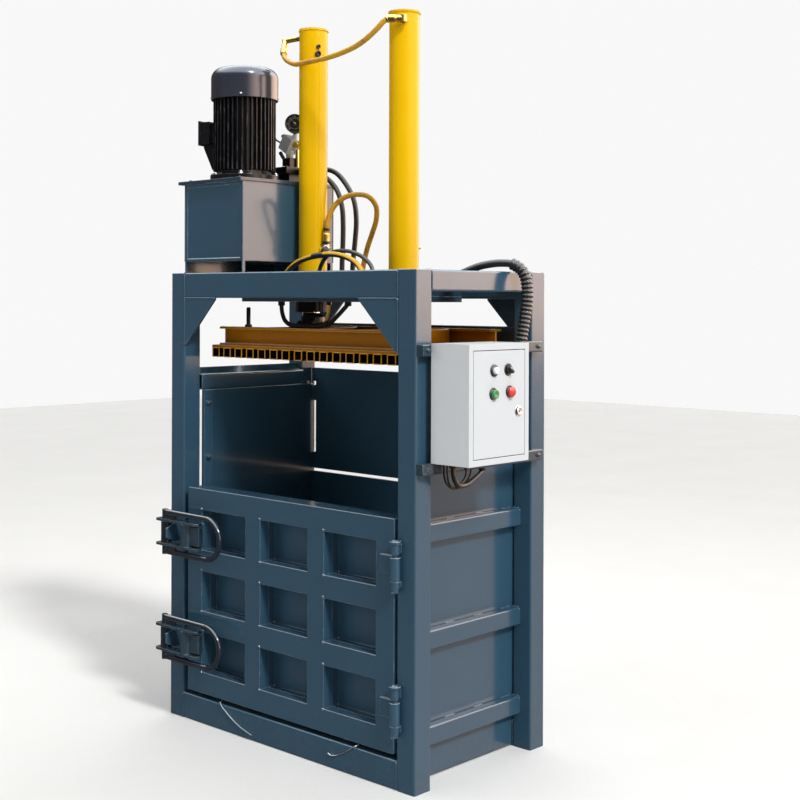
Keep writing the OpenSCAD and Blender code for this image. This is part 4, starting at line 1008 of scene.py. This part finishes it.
def socket_screw():
    """Cylindrical head with a hexagon socket."""
    return turned([(0, 0), (0.8, 0), (0.8, 0.88), (0.72, 0.98), (0.44, 0.98), (0.42, 0.55),
                   (0, 0.5)], 24)


def pan_screw():
    """Low round head with a shallow recess."""
    return turned([(0, 0), (0.98, 0), (1.0, 0.1), (0.9, 0.42), (0.6, 0.62), (0.34, 0.66),
                   (0.3, 0.34), (0, 0.3)], 24)


# %% Places of the fasteners
MOTOR_AT, MOTOR_TOP, LID_TOP = (-485.5, -110), 2385, 2058
MOTOR_CORNERS = (-47, 43, 133, 223)  # degrees
BOX_OUT = (-0.951, -0.309, 0)  # the way the motor's terminal box faces


def around(at, radius, degrees, z):
    """A place and its outward direction on a circle about an upright axis."""
    c, s = math.cos(math.radians(degrees)), math.sin(math.radians(degrees))
    return (at[0] + radius * c, at[1] + radius * s, z), (c, s, 0)


painted_bolts = [((side * 541, -242, z), (-side, 0, 0), 11)
                 for side in BOTH for z in (1200, 990, 560, 200)]
painted_bolts += [((669, y, z), X_AXIS, 8) for z in (1053, 1437) for y in (-318, 266)]
painted_bolts += [((-650, y, 1722), (-1, 0, 0), 8) for y in (-225, 150)]
# These bolts take the darker copy of the slate: painted shade.
placed("frame_bolts", hex_bolt(), painted_bolts, "slate_dark")

bright = [(*around(MOTOR_AT, 130.6, degrees, MOTOR_TOP + 3), 5) for degrees in MOTOR_CORNERS]
for tangent in (-44, 44):
    at = [MOTOR_AT[0] + BOX_OUT[0] * 182.3 - BOX_OUT[1] * tangent,
          MOTOR_AT[1] + BOX_OUT[1] * 182.3 + BOX_OUT[0] * tangent]
    bright += [((*at, z), BOX_OUT, 5) for z in (2213, 2295)]
bright += [((x, 90 + y, 2126), Z_AXIS, 5) for x in (-478, -422) for y in (-50, 50)]
placed("bright_screws", pan_screw(), bright, "bright_screws")

black = [(*around((x, ROD_Y), 54.8, degrees, z), size) for x, degrees, z, size in (
    (-240, -25, 2569, 10), (-240, -27, 2541, 14), (240, 150, 2569, 10))]
black += [((x, y, 1646.3), Z_AXIS, 6) for x, y in ((-84, 142), (-88, 94), (-134, 128))]
placed("black_screws", socket_screw(), black, "black_casting")

foot_studs = [(around(MOTOR_AT, 121, degrees, LID_TOP + 24)[0], Z_AXIS, 11)
              for degrees in MOTOR_CORNERS]
placed("motor_foot_nuts", hex_bolt(), foot_studs, "bright_screws")


# %% [markdown]
# ## The control cabinet's small parts
#
# The CAD cabinet has its folded shell, its rim and its door. What makes it look bought are the
# parts that a panel builder adds: a rubber edge in the seam, black bezels round the controls, a
# moulded grip on the selector, a domed lamp and cable glands underneath. Most are turned shapes,
# so they are drawn as half a section, in millimetres, and placed by a point and a direction.

# %% Boxes, turned solids and rings, in millimetres
def moved(bm, matrix):
    bmesh.ops.transform(bm, matrix=matrix, verts=bm.verts)
    return bm


def facing(at, towards):
    """The matrix that puts a shape made about Z at a point, with its Z towards a direction."""
    turn = Vector(towards).normalized().to_track_quat("Z", "Y").to_matrix().to_4x4()
    return Matrix.Translation(at) @ turn


def box(low, high):
    """A box between two corners, in millimetres."""
    bm = bmesh.new()
    bmesh.ops.create_cube(bm, size=1.0)
    low, high = mm(*low), mm(*high)
    for v in bm.verts:
        v.co = Vector([low[i] + (v.co[i] + 0.5) * (high[i] - low[i]) for i in range(3)])
    return bm


def solid(profile, at=(0, 0, 0), towards=Z_AXIS, sides=40):
    """A turned solid in millimetres. Its flat ends are closed to the axis."""
    profile = [(0, profile[0][1])] + profile
    if profile[-1][0]:
        profile.append((0, profile[-1][1]))
    bm = turned([(r / 1000, h / 1000) for r, h in profile], sides)
    return moved(bm, facing(mm(*at), towards))


def ring(profile, at=(0, 0, 0), towards=Z_AXIS, sides=40):
    """A turned ring in millimetres. Its profile closes on itself."""
    bm = turned([(r / 1000, h / 1000) for r, h in profile + profile[:1]], sides)
    bmesh.ops.remove_doubles(bm, verts=bm.verts, dist=1e-7)
    return moved(bm, facing(mm(*at), towards))


# %% Cabinet: the rubber in the seam, the bezels and the lamp
FACE_X = 829
CAB_Y0, CAB_Y1, CAB_Z0, CAB_Z1 = -302, 4, 1072, 1460
RIM, GASKET = 20, 0.45  # width of the folded rim, thickness of the rubber
LAMP, SELECTOR, GREEN, RED = (-178, 1374), (-106, 1375), (-182, 1299), (-98, 1303)
LOCK = (-53, 1238)


def on_panel(control):
    """The middle of a control on the cabinet's face, and the way it looks."""
    return (FACE_X, *control), X_AXIS


def panel_bar(low, high, control, degrees):
    """A box in front of a control, turned about the control's axis."""
    turn = Matrix.Rotation(math.radians(degrees), 4, "X")
    return moved(box(low, high), Matrix.Translation(mm(FACE_X, *control)) @ turn)


def rim_strip(x0, x1, y0, y1, z0, z1, t):
    """Four strips that line a rectangular opening, inside y0..y1 and z0..z1."""
    return merged(box((x0, y0, z0), (x1, y0 + t, z1)), box((x0, y1 - t, z0), (x1, y1, z1)),
                  box((x0, y0 + t, z0), (x1, y1 - t, z0 + t)),
                  box((x0, y0 + t, z1 - t), (x1, y1 - t, z1)))


detail("cabinet_gasket", rim_strip(FACE_X - 14, FACE_X - 1.5, CAB_Y0 + RIM, CAB_Y1 - RIM,
                                   CAB_Z0 + RIM, CAB_Z1 - RIM, GASKET), "gasket")

BEZEL = [(15.2, 0), (20, 0), (20, 2.4), (19.2, 3.2), (16.2, 3.2), (15.2, 2.2)]
LAMP_BEZEL = [(11.8, 4.9), (13.9, 4.9), (13.9, 0), (20, 0), (20, 3), (18.5, 5), (15, 6),
              (11.8, 6)]
bezels = [ring(BEZEL, *on_panel(control)) for control in (SELECTOR, GREEN, RED)]
detail("control_bezels", merged(*bezels, ring(LAMP_BEZEL, *on_panel(LAMP))), "black_plastic",
       "cabinet_door")
detail("lamp_lens", solid([(11.7, 4.9), (11.7, 12), (11, 14.4), (9, 16.2), (6, 17.3), (0, 17.8)],
                          *on_panel(LAMP)), "pale_plastic", "cabinet_door")

# %% Cabinet: selector, buttons and lock
grip = panel_bar((6.1, -4.8, -13.4), (18.8, 4.8, 13.4), SELECTOR, 45)
knob = solid([(14.2, 6.3), (14.2, 7.6), (13, 9.2)], *on_panel(SELECTOR))
detail("selector_grip", merged(grip, knob), "black_plastic", "selector", bevel=0.9)
detail("selector_pointer", panel_bar((18.85, -0.9, 2), (19.2, 0.9, 12.4), SELECTOR, 45),
       "pale_plastic", "selector")

detail("green_head", solid([(14.7, 5.7), (14.7, 12.6), (13.9, 13.9), (12.6, 14.2), (9, 13.75),
                            (0, 13.6)], *on_panel(GREEN)), "green_plastic", "green_button")
detail("red_head", solid([(14.7, 5.7), (16.5, 8), (17.5, 11), (17.2, 13.4), (15.4, 15),
                          (0, 16.2)], *on_panel(RED)), "red_plastic", "red_button")
detail("lock_face", merged(
    solid([(13.4, 6.2), (13.4, 7.2), (12.4, 8), (9.4, 8), (9, 7)], *on_panel(LOCK)),
    ring([(13.2, 0), (17.5, 0), (17.5, 1.6), (16.8, 2.2), (13.2, 2.2)], *on_panel(LOCK)),
), "bright_screws", "lock")
# The keyway is a thin dark plate on the lock's face: painted shade for its hollow.
detail("lock_slot", panel_bar((7.02, -1.6, -6.4), (7.3, 1.6, 6.4), LOCK, -35), "gasket", "lock")

# %% Cabinet: glands and leads
detail("cable_glands", merged(
    ring([(8.4, 0), (15, 0), (15, 8), (13.5, 9.5), (13.5, 16), (11.5, 19), (8.4, 20)],
         (700, -228, CAB_Z0), (0, 0, -1), 24),
    ring([(21.6, 0), (29, 0), (29, 7), (27, 9), (27, 20), (25, 23), (21.6, 24)],
         (740, CAB_Y1, 1258), (0, 1, 0), 32),
    ring([(14, 0), (27, 0), (27, 8), (24, 10), (24, 18), (20, 21), (14, 22)],
         (400, 157.7, 1668), (0, -1, 0), 32),
    ring([(8.4, 0), (13, 0), (13, 6), (11, 9), (8.4, 10)], (656, -26, 1033.7), (0, 0, -1), 24),
), "black_plastic")


def thin_cord(name, points, radius, finish="black_hose"):
    """A lead or small hose of its own."""
    curve = smooth_route(points)
    obj = detail(name, tube(curve, radius, 12), finish, slot="black_hose", angle=60)


thin_cord("switch_lead", [
    (690, -262, 1071), (690, -262, 1052), (688, -258, 1030), (682, -240, 1004), (674, -205, 984),
    (668, -165, 980), (663, -125, 990), (660, -95, 1012), (659, -88, 1040), (659, -88, 1071)],
    0.004)
thin_cord("lamp_lead", [
    (712, -270, 1071), (712, -270, 1050), (708, -262, 1022), (698, -238, 998), (686, -205, 990),
    (677, -170, 992), (672, -140, 1004), (672, -128, 1028), (672, -128, 1050),
    (672, -128, 1071)], 0.004)

# %% [markdown]
# ## The gauge, the valve and the hose ends
#
# The gauge looks at the operator between motor and cylinder. Its pocket in the CAD takes a dark
# dial with pale ticks and no words. The ticks are one small bar turned round the dial.

# %% Gauge
GAUGE_AT, GAUGE_OUT = Vector((-432, 108, 2304.3)), Vector((0.643, -0.766, 0.0))


def on_gauge(bm, lift):
    """Puts a piece made flat about Z on the gauge's face, lift millimetres out."""
    return moved(bm, facing((GAUGE_AT + GAUGE_OUT * lift) / 1000, GAUGE_OUT))


def dial_bar(radius, width, length, degrees, height):
    """A flat bar that lies along a radius of the dial."""
    bar = box((radius, -width / 2, 0), (radius + length, width / 2, height))
    return moved(bar, Matrix.Rotation(math.radians(degrees), 4, "Z"))


detail("gauge_dial", on_gauge(solid([(33.2, 0), (33.2, 0.8)], sides=56), 9.1), "gauge_face")
ticks = [dial_bar(24, 1.3 if k % 5 else 2.4, 5 if k % 5 else 8, 225 - k * 9, 0.3)
         for k in range(31)]
ticks.append(ring([(20.6, 0), (21.6, 0), (21.6, 0.3), (20.6, 0.3)], sides=56))
detail("gauge_ticks", on_gauge(merged(*ticks), 9.95), "pale_plastic")
needle = merged(dial_bar(-8, 2.2, 32, 128, 0.8), solid([(5.5, 0), (5.5, 2.4), (4.4, 3)],
                                                       sides=24))
detail("gauge_needle", on_gauge(needle, 10.3), "bright_screws")
rim = ring([(33.4, 0), (38.9, 0), (38.9, 1.6), (37.6, 3.2), (35, 3.4), (33.4, 2.2)], sides=56)
detail("gauge_bezel", on_gauge(rim, 13.9), "black_plastic")

# %% Valve
OUTWARDS = (0.683, -0.73, 0.0)
VALVE_PLUG = (-421, 104, 2219)
detail("valve_plug", merged(
    solid([(15, 0), (15, 12), (13.5, 13.5)], VALVE_PLUG, OUTWARDS, 6),
    solid([(9, 13), (9, 20), (7.6, 21.5), (5, 21.5), (5, 17)], VALVE_PLUG, OUTWARDS, 24),
), "fitting_brass")
detail("valve_ring", ring([(10, 14), (14.5, 14), (15.5, 16), (14.5, 18.5), (10, 18.5)],
                          VALVE_PLUG, OUTWARDS, 32), "yellow_paint")
detail("valve_pillar", solid([(8, 0), (8, 70), (6.5, 74)], (-420, 110, 2126), sides=24),
       "fitting_brass")
detail("valve_levers", merged(
    tube([mm(-500, 92, 2233), mm(-515, 90, 2241), mm(-527, 88, 2247)], 0.004, 12),
    solid([(6, 0), (7, 4), (6, 12), (0, 14)], (-525, 88, 2246), (-0.85, -0.1, 0.5), 20),
    solid([(7.5, 0), (7.5, 30), (6, 33)], (-493, 84, 2192), (0.62, 0, -0.78), 20),
    solid([(8, 0), (8, 14), (6, 17)], (-470, 84, 2247), (-0.53, 0, 0.85), 20),
), "black_plastic")

# %% [markdown]
# Hose ends get what a fitter leaves there: a steel nut and a clamp on the riser, a wrap of black
# tape on the front hose, and a second, thinner pilot hose behind it. Under the bridge the front
# hose goes on in a loop that rests on the open press.

# %% Hose ends
for name, route, start, end, radius in (("hose_tape", "front_hose", 0.205, 0.262, 0.0109),
                                        ("riser_clamp", "riser_hose", 0.050, 0.060, 0.0148)):
    stretch = part_of_route(smooth_route(ROUTES[route], 12), start, end)
    detail(name, tube(stretch, radius, 20), "black_plastic", angle=60)
RISER_NUT = (-165, 28, 1797)
detail("riser_nut", merged(
    solid([(16, -4), (16, 12), (14, 14.5)], RISER_NUT, OUTWARDS, 6),
    solid([(10.5, 14), (10.5, 19), (8.5, 21)], RISER_NUT, OUTWARDS, 28),
), "bright_screws")
detail("riser_rings", merged(
    ring([(16.2, 0), (18.5, 0), (18.5, 6), (16.2, 6)], (-165, 28, 1775), sides=32),
    ring([(13, 0), (17, 0), (17, 9), (13, 9)], (-165, 28, 1814), sides=32),
), "black_plastic")

thin_cord("pilot_hose", [
    (-20, -150, 1612.6), (-20, -150, 1640), (-14, -156, 1692), (22, -164, 1744),
    (80, -170, 1772), (142, -174, 1774), (178, -175, 1769), (228, -175, 1752),
    (272, -177, 1722), (292, -182, 1684), (294, -184, 1650), (294, -184, 1612.6)],
    0.0075)
thin_cord("bridge_loop", [
    (-166, -200, 1591.5), (-166, -200, 1574), (-161, -200, 1548), (-146, -200, 1522),
    (-112, -200, 1506), (-40, -200, 1503.5), (40, -200, 1504), (92, -200, 1516),
    (129, -200, 1541), (164, -200, 1568), (178, -200, 1580), (184, -200, 1591.5)], 0.008)
thin_cord("drain_hose", [
    (73, -186, 1591.5), (73, -186, 1574), (68, -186, 1550), (62, -187, 1532), (62, -188, 1520),
    (64, -188, 1513)], 0.0055, "yellow_hose")
detail("loop_clamp", merged(
    solid([(9, 0), (9, 12)], (64, -190, 1504), sides=20),
    ring([(8.6, 0), (11.5, 0), (11.5, 14), (8.6, 14)], (72, -200, 1510), (1, 0, 0.35), 24),
), "black_plastic")
UNION = [(8.2, 0), (13, 0), (13, 12), (11, 15), (8.2, 15)]
THIN_UNION = [(5.6, 0), (10, 0), (10, 10), (8, 12), (5.6, 12)]
detail("bridge_unions", merged(*[
    ring(profile, (x, y, 1592), (0, 0, -1), 6)
    for profile, x, y in ((UNION, -166, -200), (UNION, 184, -200), (THIN_UNION, 73, -186))
]), "black_casting")

# %% [markdown]
# ## The press platen
#
# The rods end in black cast hubs bolted to the platen. The striker of the stroke switch is a black
# sleeve with its nut. Gold beads run where the beams stand on the plate.

# %% Platen
PLATEN_TOP = 1495
HUB = [(27.8, 0.2), (67, 0.2), (67, 11), (65, 13), (49, 13), (47, 15), (46, 38), (36, 46),
       (32, 54), (27.8, 54)]
detail("rod_hubs", merged(*[ring(HUB, (x, ROD_Y, PLATEN_TOP), sides=56) for x in ROD_XS]),
       "black_casting", "platen")
hub_bolts = [(around((x, ROD_Y), 57.5, degrees, PLATEN_TOP + 13)[0], Z_AXIS, 9)
             for x in ROD_XS for degrees in range(15, 375, 60)]
placed("hub_bolts", hex_bolt(), hub_bolts, "black_casting", "platen")
STRIKER = (-352, -201, PLATEN_TOP)
detail("striker_sleeve", merged(
    solid([(8, 8), (8, 70), (6.4, 75.3)], STRIKER, sides=24),
    solid([(13.6, 0.1), (13.6, 8.6), (12, 10)], STRIKER, sides=6),
    solid([(5, 0), (5, 26), (4, 28)], (-486, -201, 1491), (-1, 0, 0), 20),
), "black_casting", "platen")

BEAM_YS = (-201, 257)
platen_seams = []
for y in [beam + side * 31.5 for beam in BEAM_YS for side in BOTH]:
    platen_seams += stitches((-478, y, 1425), (478, y, 1425), 70, 40)
for x in [-499.5 + i * 66.6 for i in range(16)]:
    platen_seams += [deep(x + side * 20.5, y, y + 20, 1414.5) for y in (-238, 274)
                     for side in BOTH]
platen_seams += [deep(x + side * 48.5, -168, 224, 1425.5) for x in ROD_XS for side in BOTH]
beads("platen_beads", platen_seams, "gold_paint", "platen", radius=0.0028, pitch=0.0058)

# %% [markdown]
# ## Latches, door and frame: the last small things
#
# A bead closes the joint where each handle's bars meet its bend. Spots of weld at the corners of
# the door's pockets catch the light; their lighter copy of the slate is a painted highlight.
# Behind the press a light cross rail ties the rear posts; its darker copy of the slate is a
# painted shade.

# %% Latches and door
for z, body in zip(LATCH_ZS, ("lower_latch", "upper_latch")):
    joints = [ring_seam((-350.5, -402, z + side * 75), 10.7, X_AXIS) for side in BOTH]
    beads(body + "_beads", joints, "latch_enamel", body, radius=0.0016, pitch=0.004)

spots = [((x - 3, -344.9, z + lift), (0.35, -1, 0.3), 5.5)
         for x, z in POCKETS for lift in (-3, POCKET_H + 3)]
weld_spot = turned([(0, 0), (0.9, 0), (1, 0.2), (0.8, 0.5), (0.4, 0.66), (0, 0.7)], 14)
placed("corner_welds", weld_spot, spots, "bright_slate", "door")

# The rail takes the darker copy of the slate: painted shade.
detail("rear_tie_rail", box((-559.6, 323.4, 1446), (559.6, 344.8, 1504)), "slate_dark", bevel=4)

# %% Pins of the hinges: split pins and their washers
pins = []
for z in HINGE_ZS:
    pins += [solid([(12.5, 0), (12.5, 1.2), (10, 3.4), (0, 4.2)], (571, -364.8, z + 91),
                   sides=32),
             solid([(3, 0), (3, 30)], (571, -349.8, z - 75.5), (0, -1, 0), 12)]
# The caps and pins take the lighter copy of the slate: a painted highlight.
detail("hinge_caps", merged(*pins), "bright_slate")


# %% [markdown]
# ## Floor and light
#
# A pale studio floor and soft light keep the paint's own colours. The world is nearly white to
# the camera. In reflections it is dark in front, warm and bright above the horizon on the
# cabinet's side, and bright overhead, which draws the thin lights along the upper edges. A low,
# wide sun stands on the cabinet's side.

# %% Floor
floor_bm = bmesh.new()
bmesh.ops.create_grid(floor_bm, x_segments=1, y_segments=1, size=14.0)
floor = new_object("floor", floor_bm)
concrete, kit, shader = new_material("floor_concrete", {"Roughness": 0.75})
tone = kit.noise(kit.here(), 1.3, 5.0, 0.6)
kit.feed(shader.inputs["Base Color"], kit.mixed(tone, srgb(222, 221, 218), srgb(232, 231, 229)))
floor.data.materials.append(concrete)
floor.visible_glossy = False
print("floor:", concrete.name)

# %% World
AS_LIGHT, TO_CAMERA = 0.34, 0.94  # strengths
WHITE, WARM, COOL = (1, 1, 1, 1), (1.0, 0.70, 0.52, 1), (0.92, 0.97, 1.0, 1)

world = bpy.data.worlds.new("studio")
scene.world = world
world.use_nodes = True
kit = NodeKit(world.node_tree)
background = world.node_tree.nodes["Background"]
ray = kit.add("ShaderNodeLightPath").outputs
direction = kit.axes(kit.add("ShaderNodeTexCoord").outputs["Generated"])
cabinet_side = kit.step(kit.math("ADD", direction["X"], direction["Y"]), 0.2, 1.2)
wall = kit.times(cabinet_side, kit.step(direction["Z"], -0.042, -0.026, 0.8, 6.0))
reflected = kit.math("MAXIMUM", kit.step(direction["Z"], 0.45, 0.68, 0.12, 4.5), wall)
reflected_colour = kit.mixed(kit.step(direction["Z"], 0.2, 0.5), WARM, COOL)
kit.feed(background.inputs["Color"], kit.mixed(ray["Is Glossy Ray"], WHITE, reflected_colour))
strength = kit.math("ADD", kit.times(ray["Is Camera Ray"], TO_CAMERA - AS_LIGHT),
                    kit.times(ray["Is Glossy Ray"], kit.math("SUBTRACT", reflected, AS_LIGHT)))
kit.feed(background.inputs["Strength"], kit.math("ADD", strength, AS_LIGHT))
print("world:", len(world.node_tree.nodes), "nodes")


# %% Lamps
def aim(lamp, direction):
    lamp.rotation_euler = Vector(direction).to_track_quat("-Z", "Y").to_euler()


def area_light(name, place_at, look_at, size, power):
    data = bpy.data.lights.new(name, "AREA")
    data.shape = "SQUARE"
    data.size = size
    data.energy = power
    lamp = linked(name, data)
    lamp.location = place_at
    lamp.visible_glossy = False
    aim(lamp, Vector(look_at) - Vector(place_at))


sun_data = bpy.data.lights.new("sun", "SUN")
sun_data.energy = 2.15
sun_data.angle = math.radians(9)
aim(linked("sun", sun_data), (-4.0, 1.0, -3.6))

area_light("key", (4.5, -1.0, 4.6), (0.2, 0.0, 1.2), 3.5, 110)
area_light("fill", (-3.0, -4.5, 3.2), (0.0, 0.0, 1.2), 3.0, 60)
area_light("top", (-1.0, 2.0, 5.5), (0.0, 0.0, 1.5), 4.0, 90)
scene.view_settings.view_transform = "Standard"
